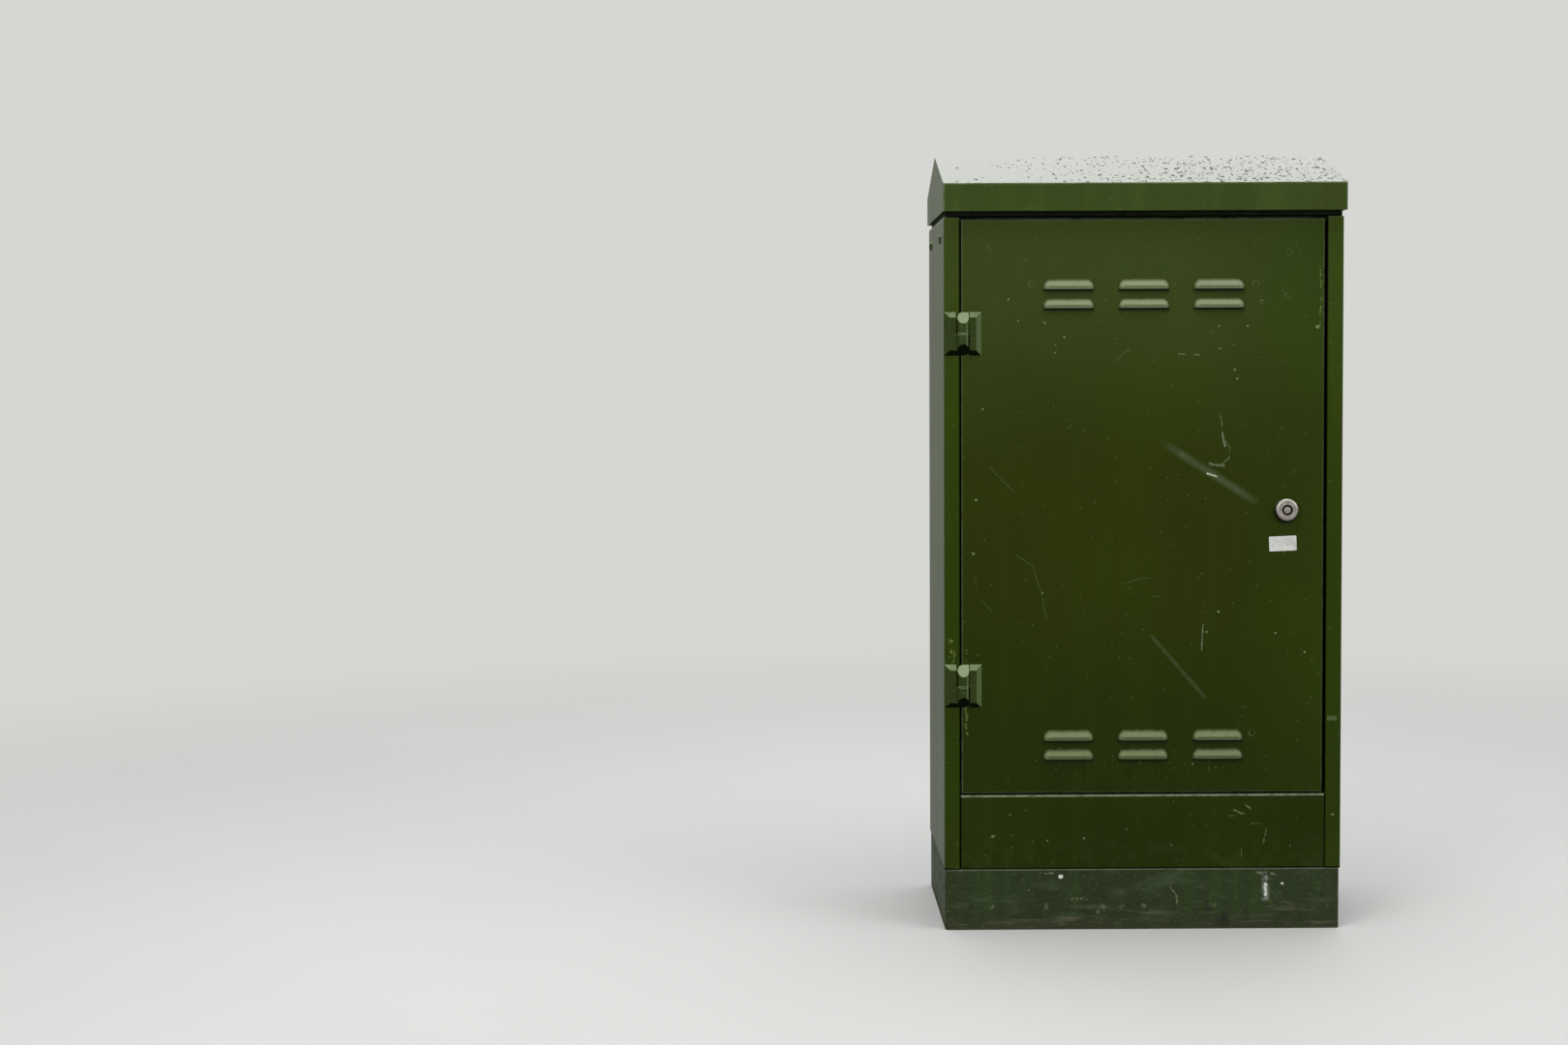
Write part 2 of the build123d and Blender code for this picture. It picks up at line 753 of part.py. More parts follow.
# Block hinges: the lower knuckle is on the frame leaf and the upper one on the door leaf, so the
# open door lifts off its pins. The ends of leaf and knuckle are cut by the same 45 degree planes.
def hinge_leaf(hand, hinge_z):
    half_height = hinge_height / 2
    depth = hinge_axis_proud + 2 * knuckle_radius
    plate_start = knuckle_radius + knuckle_gap
    knuckle_low = washer_thickness / 2 + washer_clearance if hand > 0 else -half_height
    knuckle_high = half_height if hand > 0 else -washer_thickness / 2
    stud_x = hinge_x + hand * (knuckle_radius + hinge_stud_inset - knuckle_gap)
    with BuildPart() as leaf:
        with BuildSketch(Plane((hinge_x, -half_depth, hinge_z - half_height))):
            with BuildLine():
                Polyline(
                    (hand * plate_start, 0),
                    (hand * hinge_leaf_reach, 0),
                    (hand * (hinge_leaf_reach - hinge_leaf_thickness), -hinge_leaf_thickness),
                    (hand * plate_start, -hinge_leaf_thickness),
                    close=True,
                )
            make_face()
        extrude(amount=hinge_height)
        with BuildSketch(Plane((hinge_x, -half_depth, hinge_z + knuckle_low))):
            with Locations((0, -hinge_axis_proud)):
                Circle(knuckle_radius)
            web_depth = hinge_leaf_thickness - seal_clearance
            with Locations((hand * plate_start / 2, -seal_clearance - web_depth / 2)):
                Rectangle(plate_start, web_depth)
        extrude(amount=knuckle_high - knuckle_low)
        with BuildSketch(Plane.YZ.offset(hinge_x - body_width / 4)):
            with BuildLine():
                Polyline(
                    (-half_depth, hinge_z + half_height),
                    (-half_depth - depth, hinge_z + half_height - depth),
                    (-half_depth - depth, hinge_z - half_height + depth),
                    (-half_depth, hinge_z - half_height),
                    close=True,
                )
            make_face()
        extrude(amount=body_width / 2, mode=Mode.INTERSECT)
        bore_radius = hinge_pin_radius + (running_clearance if hand > 0 else press_clearance)
        with BuildSketch(Plane.XY.offset(hinge_z)):
            with Locations((hinge_x, hinge_y)):
                Circle(bore_radius)
        extrude(amount=hand * hinge_bore_depth, mode=Mode.SUBTRACT)
        with BuildSketch(front_plane):
            with Locations((stud_x, hinge_z)):
                with GridLocations(0, hinge_stud_spacing, 1, 2):
                    Circle(hinge_stud_radius)
        extrude(amount=-hinge_stud_length)
    return leaf.part


for level, hinge_z in (("upper", upper_hinge_z), ("lower", lower_hinge_z)):
    save(hinge_leaf(-1, hinge_z), f"hinge_leaf_frame_{level}")
    save(hinge_leaf(1, hinge_z), f"hinge_leaf_door_{level}")
    with BuildPart() as hinge_pin:
        with BuildSketch(Plane.XY.offset(hinge_z - hinge_pin_reach)):
            with Locations((hinge_x, hinge_y)):
                Circle(hinge_pin_radius)
        extrude(amount=2 * hinge_pin_reach)
        chamfer(hinge_pin.edges().sort_by(Axis.Z)[-1], hinge_pin_radius / 4)
    save(hinge_pin.part, f"hinge_pin_{level}")
    with BuildPart() as hinge_washer:
        with BuildSketch(Plane.XY.offset(hinge_z - washer_thickness / 2)):
            with Locations((hinge_x, hinge_y)):
                Circle(knuckle_radius)
                Circle(hinge_pin_radius + running_clearance, mode=Mode.SUBTRACT)
        extrude(amount=washer_thickness)
    save(hinge_washer.part, f"hinge_washer_{level}")

for nut_name, hand in (("hinge_frame_nuts", -1), ("hinge_door_nuts", 1)):
    stud_x = hinge_x + hand * (knuckle_radius + hinge_stud_inset - knuckle_gap)
    with BuildPart() as hinge_nuts:
        with BuildSketch(facing(-half_depth + sheet)):
            for hinge_z in (upper_hinge_z, lower_hinge_z):
                with Locations((stud_x, hinge_z)):
                    with GridLocations(0, hinge_stud_spacing, 1, 2):
                        RegularPolygon(nut_width / 2, 6, major_radius=False)
                        Circle(hinge_stud_radius + thread_relief, mode=Mode.SUBTRACT)
        extrude(amount=-nut_height)
    save(hinge_nuts.part, nut_name)


# Lock: housing with bezel, clamped by a nut behind the stiffener
with BuildPart() as lock_body:
    with BuildSketch(Plane((lock_x, -half_depth, lock_z), x_dir=(1, 0, 0), z_dir=(0, 0, 1))):
        with BuildLine():
            bore = core_radius + running_clearance
            barrel_length = barrel_back_y + half_depth
            Polyline(
                (bore, barrel_length),
                (barrel_radius, barrel_length),
                (barrel_radius, 0),
                (bezel_radius, 0),
                (bezel_radius, -bezel_proud),
                (bore, -bezel_proud),
                close=True,
            )
        make_face()
    revolve(axis=Axis((lock_x, -half_depth, lock_z), (0, 1, 0)))
    face_edges = lock_body.edges().group_by(Axis.Y)[0].sort_by(SortBy.LENGTH)
    fillet(face_edges[-1], bezel_edge_radius)
save(lock_body.part, "lock_body")

with BuildPart() as lock_nut:
    with BuildSketch(facing(stiffener_back_y)):
        with Locations((lock_x, lock_z)):
            RegularPolygon(lock_nut_width / 2, 6, major_radius=False)
            Circle(barrel_radius + thread_relief, mode=Mode.SUBTRACT)
    extrude(amount=-lock_nut_height)
save(lock_nut.part, "lock_nut")

# Lock core: turns in the housing, with a ring-shaped keyway round a notched centre post
keyway_floor_y = -half_depth - bezel_proud + core_sink + keyway_depth
with BuildPart() as lock_core:
    with BuildSketch(facing(barrel_back_y)):
        with Locations((lock_x, lock_z)):
            Circle(core_radius)
    extrude(amount=barrel_back_y - keyway_floor_y)
    with BuildSketch(facing(keyway_floor_y)):
        with Locations((lock_x, lock_z)):
            Circle(keyway_post_radius)
        with Locations((lock_x, lock_z + keyway_post_radius)):
            Rectangle(keyway_notch_width, 2 * keyway_notch_depth, mode=Mode.SUBTRACT)
    extrude(amount=keyway_depth)
    with BuildSketch(facing(barrel_back_y)):
        with Locations((lock_x, lock_z)):
            Rectangle(shank_side, shank_side)
    extrude(amount=-(cam_back_y - barrel_back_y))
    with BuildSketch(facing(cam_back_y)):
        with Locations((lock_x, lock_z)):
            Circle(cam_screw_radius + thread_relief)
    extrude(amount=cam_screw_length + thread_relief, mode=Mode.SUBTRACT)
save(lock_core.part, "lock_core")


# Lock cam: a plate with the side tongue and two studs that drive the rods
stud_reach = cam_throw_radius * cos(radians(45))
shank_hole = shank_side + 2 * running_clearance
with BuildPart() as lock_cam:
    with BuildSketch(facing(cam_front_y)):
        with Locations((lock_x, lock_z)):
            Circle(cam_hub_radius)
            SlotCenterToCenter(
                2 * cam_throw_radius, 2 * (cam_stud_radius + sheet), rotation=-45
            )
        with Locations((lock_x, lock_z - tongue_length / 2)):
            Rectangle(tongue_width, tongue_length)
        with Locations((lock_x, lock_z)):
            Rectangle(shank_hole, shank_hole, mode=Mode.SUBTRACT)
    extrude(amount=-cam_thickness)
    tongue_corners = lock_cam.edges().filter_by(Axis.Y).group_by(Axis.Z)[0]
    fillet(tongue_corners, tongue_width / 3)
    with BuildSketch(facing(cam_back_y)):
        with Locations(
            (lock_x + stud_reach, lock_z - stud_reach), (lock_x - stud_reach, lock_z + stud_reach)
        ):
            Circle(cam_stud_radius)
    extrude(amount=-(rod_layer_clearance + rod_thickness + rod_layer_clearance))
save(lock_cam.part, "lock_cam")

with BuildPart() as cam_screw:
    with BuildSketch(facing(cam_back_y)):
        with Locations((lock_x, lock_z)):
            Circle(cam_screw_head_radius)
    extrude(amount=-cam_screw_head_height)
    with BuildSketch(facing(cam_back_y)):
        with Locations((lock_x, lock_z)):
            Circle(cam_screw_radius)
    extrude(amount=cam_screw_length)
    head_face = cam_screw.faces().sort_by(Axis.Y)[-1]
    chamfer(head_face.edges(), cam_screw_head_height / 4)
save(cam_screw.part, "cam_screw")


# Locking rods: flat bars with a cross slot at the cam end, which the cam stud drives up or down
slot_height = 2 * (cam_stud_radius + rod_slot_clearance)
slot_width = cam_throw_radius - stud_reach + slot_height
slot_centre = (cam_throw_radius + stud_reach) / 2
upper_tip = flange_bottom - rod_tip_clearance
lower_tip = rail_top + rod_tip_clearance
for rod_name, direction, tip in (("upper_rod", 1, upper_tip), ("lower_rod", -1, lower_tip)):
    rod_x = lock_x + direction * rod_offset
    stud_z = lock_z - direction * stud_reach
    foot = stud_z - direction * rod_end_margin
    with BuildPart() as rod:
        with BuildSketch(facing(rod_front_y)):
            with Locations((rod_x, (foot + tip) / 2)):
                Rectangle(rod_width, abs(tip - foot))
            with Locations((lock_x + direction * slot_centre, stud_z)):
                SlotOverall(slot_width, slot_height, mode=Mode.SUBTRACT)
        extrude(amount=-rod_thickness)
        tip_corners = rod.edges().filter_by(Axis.Y).group_by(Axis.Z)[-1 if direction > 0 else 0]
        chamfer(tip_corners, rod_tip_chamfer)
    save(rod.part, rod_name)


# Rod guides: moulded blocks on the stiffener, each with a slot that one rod runs through
guide_places = [(lock_x + rod_offset, lock_z + rise) for rise in upper_guide_offsets]
guide_places += [(lock_x - rod_offset, lock_z - fall) for fall in lower_guide_offsets]
for guide_index, (guide_x, guide_z) in enumerate(guide_places):
    with BuildPart() as rod_guide:
        with BuildSketch(Plane.XY.offset(guide_z - guide_length / 2)):
            body_half = rod_width / 2 + guide_clearance + guide_wall
            with BuildLine():
                Polyline(
                    (guide_x - body_half - guide_foot, stiffener_back_y),
                    (guide_x - body_half - guide_foot, stiffener_back_y + guide_foot_height),
                    (guide_x - body_half, stiffener_back_y + guide_foot_height),
                    (guide_x - body_half, rod_back_y + guide_clearance + guide_wall),
                    (guide_x + body_half, rod_back_y + guide_clearance + guide_wall),
                    (guide_x + body_half, stiffener_back_y + guide_foot_height),
                    (guide_x + body_half + guide_foot, stiffener_back_y + guide_foot_height),
                    (guide_x + body_half + guide_foot, stiffener_back_y),
                    close=True,
                )
            make_face()
            with Locations((guide_x, (rod_front_y + rod_back_y) / 2)):
                Rectangle(
                    rod_width + 2 * guide_clearance,
                    rod_thickness + 2 * guide_clearance,
                    mode=Mode.SUBTRACT,
                )
        extrude(amount=guide_length)
    save(rod_guide.part, f"rod_guide_{guide_index + 1}")


# Equipment plate on standoffs in front of the back panel
plate_hole_spacing_x = plate_width - 2 * plate_hole_margin
plate_hole_spacing_z = plate_height - 2 * plate_hole_margin
with BuildPart() as equipment_plate:
    with BuildSketch(facing(plate_back_y)):
        with Locations((0, plate_centre_z)):
            Rectangle(plate_width, plate_height)
            with GridLocations(plate_hole_spacing_x, plate_hole_spacing_z, 2, 2):
                Circle(plate_screw_radius + bolt_clearance, mode=Mode.SUBTRACT)
    extrude(amount=plate_sheet)
save(equipment_plate.part, "equipment_plate")

with BuildPart() as plate_standoffs:
    with BuildSketch(facing(half_depth - 2 * sheet)):
        with Locations((0, plate_centre_z)):
            with GridLocations(plate_hole_spacing_x, plate_hole_spacing_z, 2, 2):
                RegularPolygon(standoff_radius, 6)
                Circle(plate_screw_radius + thread_relief, mode=Mode.SUBTRACT)
    extrude(amount=standoff_length)
save(plate_standoffs.part, "plate_standoffs")

with BuildPart() as plate_screws:
    with BuildSketch(facing(plate_front_y)):
        with Locations((0, plate_centre_z)):
            with GridLocations(plate_hole_spacing_x, plate_hole_spacing_z, 2, 2):
                RegularPolygon(plate_screw_head_radius, 6)
    extrude(amount=plate_screw_head_height)
    with BuildSketch(facing(plate_front_y)):
        with Locations((0, plate_centre_z)):
            with GridLocations(plate_hole_spacing_x, plate_hole_spacing_z, 2, 2):
                Circle(plate_screw_radius)
    extrude(amount=-(plate_sheet + standoff_length / 2))
save(plate_screws.part, "plate_screws")


# Top-hat equipment rails across the plate
for rail_name, rise in (("din_rail_upper", upper_din_rise), ("din_rail_lower", lower_din_rise)):
    rail_z = plate_bottom + rise
    front_y = plate_front_y - din_depth
    with BuildPart() as din_rail:
        with BuildSketch(Plane.YZ.offset(-din_length / 2)):
            with BuildLine():
                Polyline(
                    (front_y, rail_z + din_width / 2),
                    (front_y, rail_z + din_top / 2),
                    (plate_front_y - din_sheet, rail_z + din_top / 2),
                    (plate_front_y - din_sheet, rail_z - din_top / 2),
                    (front_y, rail_z - din_top / 2),
                    (front_y, rail_z - din_width / 2),
                )
                offset(amount=din_sheet, side=Side.LEFT)
            make_face()
        extrude(amount=din_length)
    save(din_rail.part, rail_name)


# Terminal blocks clipped side by side on the lower rail
rail_z = plate_bottom + lower_din_rise
rail_face_y = plate_front_y - din_depth
with BuildPart() as terminal_blocks:
    for block in range(terminal_count):
        block_x = (block - terminal_count / 2) * terminal_width
        with BuildSketch(Plane.YZ.offset(block_x)):
            with BuildLine():
                Polyline(
                    (rail_face_y - lap_clearance, rail_z + terminal_height / 2),
                    (rail_face_y - terminal_depth / 2, rail_z + terminal_height / 2),
                    (rail_face_y - terminal_depth, rail_z + terminal_shoulder),
                    (rail_face_y - terminal_depth, rail_z - terminal_shoulder),
                    (rail_face_y - terminal_depth / 2, rail_z - terminal_height / 2),
                    (rail_face_y - lap_clearance, rail_z - terminal_height / 2),
                    close=True,
                )
            make_face()
        extrude(amount=terminal_width - lap_clearance)
save(terminal_blocks.part, "terminal_blocks")


# Earth bar on two insulators near the foot of the plate, with its terminal screws run right in
earth_z = plate_bottom + earth_bar_rise
earth_back_y = plate_front_y - insulator_height
with BuildPart() as earth_bar_insulators:
    with BuildSketch(facing(plate_front_y)):
        with Locations((0, earth_z)):
            with GridLocations(insulator_spacing - 2 * insulator_radius, 0, 2, 1):
                Circle(insulator_radius)
    extrude(amount=insulator_height, taper=10)
save(earth_bar_insulators.part, "earth_bar_insulators")

with BuildPart() as earth_bar:
    with BuildSketch(facing(earth_back_y)):
        with Locations((0, earth_z)):
            Rectangle(earth_bar_length, earth_bar_height)
    extrude(amount=earth_bar_depth)
    with BuildSketch(facing(earth_back_y - earth_bar_depth)):
        with Locations((0, earth_z)):
            with GridLocations(earth_screw_spacing, 0, earth_screw_count, 1):
                RegularPolygon(earth_screw_head_radius, 6)
    extrude(amount=earth_screw_head_height)
save(earth_bar.part, "earth_bar")
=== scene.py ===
import math
from collections import namedtuple

import bpy
from mathutils import Matrix, Vector


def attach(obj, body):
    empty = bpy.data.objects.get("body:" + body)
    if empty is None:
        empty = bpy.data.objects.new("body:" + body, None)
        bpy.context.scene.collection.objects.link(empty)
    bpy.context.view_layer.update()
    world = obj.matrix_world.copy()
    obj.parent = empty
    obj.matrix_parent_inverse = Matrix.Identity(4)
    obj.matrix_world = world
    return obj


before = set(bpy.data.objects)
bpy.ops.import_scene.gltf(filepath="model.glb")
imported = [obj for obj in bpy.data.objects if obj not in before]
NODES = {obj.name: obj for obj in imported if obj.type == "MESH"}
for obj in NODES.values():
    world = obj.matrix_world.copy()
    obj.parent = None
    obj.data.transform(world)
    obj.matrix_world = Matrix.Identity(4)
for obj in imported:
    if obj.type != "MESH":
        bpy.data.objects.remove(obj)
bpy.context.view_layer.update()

MM = 0.001


def reach(name, axis):
    """Lowest and highest coordinate of a node along an axis, in metres."""
    values = [vertex.co[axis] for vertex in NODES[name].data.vertices]
    return min(values), max(values)


def middle(name, axis):
    """Middle of a node along an axis, in metres."""
    return sum(reach(name, axis)) / 2


# Levels and places of the solids, in metres: x to the right, y to the back, z up
FRONT = -0.150
PLINTH_TOP = reach("plinth", 2)[1]
PLINTH_FRONT = reach("plinth", 1)[0]
KICK_TOP = reach("kick_panel", 2)[1]
KICK_HALF_WIDTH = reach("kick_panel", 0)[1]
OPENING_HALF_WIDTH = 0.2535
BODY_TOP = reach("left_side", 2)[1]
BODY_HALF_WIDTH = reach("right_side", 0)[1]
LIP_LOW = reach("roof", 2)[0]
LIP_HEIGHT = 0.038
LIP_HIGH = LIP_LOW + LIP_HEIGHT
LIP_FRONT = reach("roof", 1)[0]
LIP_HALF_WIDTH = reach("roof", 0)[1]
DOOR_LOW, DOOR_TOP = reach("door_panel", 2)
DOOR_X = middle("door_panel", 0)
DOOR_Z = middle("door_panel", 2)
DOOR_HALF_WIDTH = reach("door_panel", 0)[1] - DOOR_X
DOOR_HALF_HEIGHT = DOOR_TOP - DOOR_Z

LOCK_X = middle("lock_body", 0)
LOCK_Z = middle("lock_body", 2)
LOCK_RADIUS = 0.0155
KEYWAY_INNER = 0.0046
KEYWAY_OUTER = 0.0074

HINGE_X = middle("hinge_pin_upper", 0)
HINGE_LEVELS = [middle(name, 2) for name in ("hinge_leaf_frame_upper", "hinge_leaf_frame_lower")]
KNUCKLE_RADIUS = 0.0080
KNUCKLE_LENGTH = 0.027

LOUVRE_PITCH_X = 0.1033
LOUVRE_PITCH_Z = 0.026
LOUVRE_HALF_LENGTH = 0.0355
UPPER_LOUVRE_DROP = 0.0951
LOWER_LOUVRE_RISE = 0.0734
LOUVRE_CENTRES = [column * LOUVRE_PITCH_X for column in (-1, 0, 1)]
LOUVRE_FEET = [
    first_row - row * LOUVRE_PITCH_Z
    for first_row in (DOOR_TOP - UPPER_LOUVRE_DROP, DOOR_LOW + LOWER_LOUVRE_RISE)
    for row in (0, 1)
]

# Marks read from the photograph, in millimetres on the front of the cabinet: x to the right, z up.
# A ring is given by its centre, and a speck by its centre and radius.
WELD_RINGS = (
    (-209.7, 945.1), (-153.8, 894.7), (153.9, 894.4), (199.2, 937.0),
    (198.4, 877.5), (163.3, 871.0), (151.1, 273.6),
)
WELD_RING_RADIUS = 4.2
WELD_RING_WIDTH = 1.6
DOOR_SPECKS = (
    (-109.4, 822.0, 1.3), (-121.3, 812.0, 1.0), (-122.1, 800.8, 1.0), (-136.3, 841.8, 1.3),
    (-172.8, 844.6, 1.0), (-185.9, 874.4, 1.4), (162.2, 871.0, 1.2), (143.0, 836.1, 1.2),
    (103.4, 836.3, 1.2), (125.3, 776.5, 1.3), (129.1, 764.2, 1.3), (104.6, 805.3, 1.1),
    (-221.4, 724.0, 1.2), (-230.5, 598.4, 1.7), (-234.7, 524.4, 1.8), (-139.1, 468.7, 1.2),
    (104.1, 442.6, 1.7), (88.1, 414.8, 1.1), (183.2, 412.4, 1.3), (223.9, 385.8, 1.4),
    (69.2, 231.3, 1.3), (239.0, 834.5, 2.4),
)
BODY_SPECKS = (
    (-132.2, 124.7, 1.2), (-81.3, 127.8, 1.5), (-184.2, 161.8, 1.1), (263.6, 159.3, 1.9),
    (-208.0, 131.0, 2.0), (40.0, 118.0, 1.1), (205.0, 116.0, 1.0), (-22.0, 140.0, 1.0),
)
PLINTH_SPECKS = (
    (-133.9, 32.1, 3.4), (-209.4, 32.5, 3.0), (2.1, 32.8, 3.0), (-30.0, 33.0, 3.4),
    (-55.0, 31.0, 3.0), (98.0, 33.5, 3.4), (-158.0, 56.0, 1.6), (-62.0, 24.0, 2.4),
)

# A scratch is given by its points, its width, the softness of its edge and how strongly it shows
HOOK = ((105.0, 717.6), (109.6, 684.0), (118.3, 669.0), (118.3, 654.0), (105.2, 643.6), (90.3, 648.5))
DOOR_WAVY_SCRATCHES = (
    (HOOK, 1.2, 0.5, 0.32),
    (((109.0, 690.0), (112.0, 671.0)), 2.6, 0.5, 0.40),
    (((92.0, 646.0), (112.0, 645.0)), 3.2, 0.9, 0.25),
    (((-33.0, 482.0), (8.3, 490.1)), 1.0, 0.5, 0.13),
    (((-10.4, 465.8), (27.1, 465.6)), 1.0, 0.5, 0.10),
    (((-183.0, 526.0), (-153.0, 507.1), (-139.9, 469.4), (-134.2, 435.5)), 1.3, 0.5, 0.09),
    (((-233.6, 492.5), (-228.0, 466.1), (-209.3, 443.5)), 1.1, 0.5, 0.09),
)
DOOR_FINE_SCRATCHES = (
    (((88.0, 633.8), (101.3, 629.0)), 2.2, 0.5, 1.10),
    (((82.8, 425.0), (81.1, 389.2)), 1.0, 0.5, 0.50),
    (((-212.9, 644.4), (-179.2, 609.8)), 1.0, 0.5, 0.12),
    (((-18.6, 805.9), (-41.0, 788.5)), 1.2, 0.5, 0.11),
    (((48.6, 798.1), (56.1, 798.1)), 1.8, 0.5, 0.26),
    (((69.2, 796.9), (76.6, 796.9)), 1.8, 0.5, 0.22),
)
BODY_WAVY_SCRATCHES = (
    (((125.9, 168.0), (150.0, 156.0)), 2.0, 0.5, 0.70),
    (((140.0, 177.0), (152.4, 166.0)), 1.8, 0.5, 0.60),
    (((120.0, 158.0), (146.0, 160.0)), 1.4, 0.5, 0.50),
    (((171.3, 150.3), (169.4, 119.9)), 1.6, 0.5, 0.45),
    (((150.0, 148.0), (182.0, 143.0)), 1.4, 0.5, 0.35),
    (((-200.0, 128.0), (-176.0, 110.0)), 1.2, 0.5, 0.30),
)
BODY_FINE_SCRATCHES = (
    (((137.5, 112.0), (137.5, 100.0)), 1.0, 0.5, 0.40),
)


def linear(r, g, b):
    """An sRGB colour of 0 to 255 as the linear colour that a node takes."""
    def one(v):
        v = v / 255
        return v / 12.92 if v <= 0.04045 else ((v + 0.055) / 1.055) ** 2.4
    return (one(r), one(g), one(b), 1.0)


BLACK = (0.004, 0.005, 0.002, 1.0)
# Colour of the painted highlight along folds
EDGE_HIGHLIGHT = linear(120, 130, 100)

Cells = namedtuple("Cells", "distance pick size")


class Graph:
    """A material's node tree, with short calls for the nodes used here."""

    def __init__(self, name, roughness=0.5, **sockets):
        self.material = bpy.data.materials.new(name)
        self.material.use_nodes = True
        self.tree = self.material.node_tree
        self.shader = self.tree.nodes["Principled BSDF"]
        self.shader.inputs["Roughness"].default_value = roughness
        for key, value in sockets.items():
            self.shader.inputs[key.replace("_", " ")].default_value = value
        self.object = self.node("ShaderNodeTexCoord").outputs["Object"]
        split = self.node("ShaderNodeSeparateXYZ", Vector=self.object)
        self.x, self.y, self.z = split.outputs
        geometry = self.node("ShaderNodeNewGeometry")
        normal = self.node("ShaderNodeSeparateXYZ", Vector=geometry.outputs["Normal"])
        self.normal_x, self.normal_y, self.normal_z = normal.outputs
        self.heights = []
        # Fine specks of the outdoor paint, set by weathered_paint
        self.grit = 0.0

    def node(self, kind, settings=(), **inputs):
        n = self.tree.nodes.new(kind)
        for key, value in dict(settings).items():
            setattr(n, key, value)
        for key, value in inputs.items():
            self.put(n.inputs[key.replace("_", " ")], value)
        return n

    def put(self, socket, value):
        if isinstance(value, bpy.types.NodeSocket):
            self.tree.links.new(value, socket)
        else:
            socket.default_value = value

    def math(self, operation, a, b=0.0):
        n = self.node("ShaderNodeMath", {"operation": operation})
        self.put(n.inputs[0], a)
        self.put(n.inputs[1], b)
        return n.outputs[0]

    def off(self, value, centre):
        """How far a value is from a centre."""
        return self.math("ABSOLUTE", self.math("SUBTRACT", value, centre))

    def vector(self, operation, a, b=(0, 0, 0), scale=1.0):
        n = self.node("ShaderNodeVectorMath", {"operation": operation})
        self.put(n.inputs[0], a)
        if operation == "SCALE":
            self.put(n.inputs["Scale"], scale)
        elif operation != "LENGTH":
            self.put(n.inputs[1], b)
        return n.outputs["Value" if operation in ("DOT_PRODUCT", "LENGTH") else "Vector"]

    def span(self, value, low, high, to_low=0.0, to_high=1.0, smooth=True):
        """Maps low to high onto to_low to to_high, and holds the ends."""
        n = self.node(
            "ShaderNodeMapRange",
            {"interpolation_type": "SMOOTHSTEP" if smooth else "LINEAR"},
            Value=value, From_Min=low, From_Max=high, To_Min=to_low, To_Max=to_high,
        )
        return n.outputs["Result"]

    def band(self, value, start, full, last, end):
        """Rises from 0 to 1 between start and full, and falls back between last and end."""
        return self.times(self.span(value, start, full), self.span(value, end, last))

    def noise(self, scale, stretch=(1, 1, 1), detail=4.0, roughness=0.55, offset=0.0):
        where = self.node(
            "ShaderNodeMapping", Vector=self.object, Scale=stretch, Location=(offset, offset, offset)
        )
        n = self.node(
            "ShaderNodeTexNoise", Vector=where.outputs[0], Scale=scale, Detail=detail,
            Roughness=roughness, Distortion=0.0,
        )
        return n.outputs["Fac"]

    def cells(self, scale, offset=0.0, stretch=(1, 1, 1)):
        """Scattered cells: the distance to a cell's centre and two random values of the cell."""
        where = self.node(
            "ShaderNodeMapping", Vector=self.object, Scale=stretch, Location=(offset, offset, offset)
        )
        n = self.node("ShaderNodeTexVoronoi", Vector=where.outputs[0], Scale=scale, Randomness=1.0)
        pick = self.node("ShaderNodeSeparateColor", Color=n.outputs["Color"])
        return Cells(n.outputs["Distance"], pick.outputs[0], pick.outputs[1])

    def mix(self, factor, a, b):
        n = self.node("ShaderNodeMix", {"data_type": "RGBA"})
        self.put(n.inputs["Factor"], factor)
        self.put(n.inputs["A"], a)
        self.put(n.inputs["B"], b)
        return n.outputs["Result"]

    def most(self, *values):
        result = values[0]
        for value in values[1:]:
            result = self.math("MAXIMUM", result, value)
        return result

    def times(self, *values):
        result = values[0]
        for value in values[1:]:
            result = self.math("MULTIPLY", result, value)
        return result

    def raise_by(self, value, height):
        """Adds value times height, in metres, to the relief of the surface."""
        self.heights.append(self.math("MULTIPLY", value, height))

    def finish(self, colour, roughness=None):
        self.put(self.shader.inputs["Base Color"], colour)
        if roughness is not None:
            self.put(self.shader.inputs["Roughness"], roughness)
        total = self.heights[0]
        for height in self.heights[1:]:
            total = self.math("ADD", total, height)
        bump = self.node("ShaderNodeBump", Height=total, Strength=1.0, Distance=1.0)
        self.put(self.shader.inputs["Normal"], bump.outputs[0])
        return self.material

    def front(self, wobble=0.0, scale=60.0):
        """The position on the front face, flattened in depth, with a little unevenness."""
        flat = self.node("ShaderNodeCombineXYZ", X=self.x, Y=0.0, Z=self.z).outputs[0]
        if wobble == 0.0:
            return flat
        n = self.node("ShaderNodeTexNoise", Vector=self.object, Scale=scale, Detail=2.0)
        shift = self.vector("SUBTRACT", n.outputs["Color"], (0.5, 0.5, 0.5))
        return self.vector("ADD", flat, self.vector("SCALE", shift, scale=wobble))

    def stroke(self, place, start, end, width, soft=0.5):
        """1 along a straight stroke of that width between two points, fading at its edge."""
        a = Vector((start[0] * MM, 0, start[1] * MM))
        run = Vector((end[0] * MM, 0, end[1] * MM)) - a
        away = self.vector("SUBTRACT", place, tuple(a))
        along = self.vector("DOT_PRODUCT", away, tuple(run / run.length_squared))
        along = self.math("MAXIMUM", self.math("MINIMUM", along, 1.0), 0.0)
        nearest = self.vector("SCALE", tuple(run), scale=along)
        distance = self.vector("LENGTH", self.vector("SUBTRACT", away, nearest))
        edge = width * MM / 2
        return self.span(distance, edge * (1 - soft), edge * (1 + soft), 1.0, 0.0)

    def line(self, place, points, width, soft=0.5):
        """A stroke through several points."""
        return self.most(*(
            self.stroke(place, a, b, width, soft) for a, b in zip(points, points[1:])
        ))

    def scratches(self, place, rows):
        """All scratches of a table, each as strong as its row says."""
        return self.most(*(
            self.times(self.line(place, points, width, soft), strength)
            for points, width, soft, strength in rows
        ))

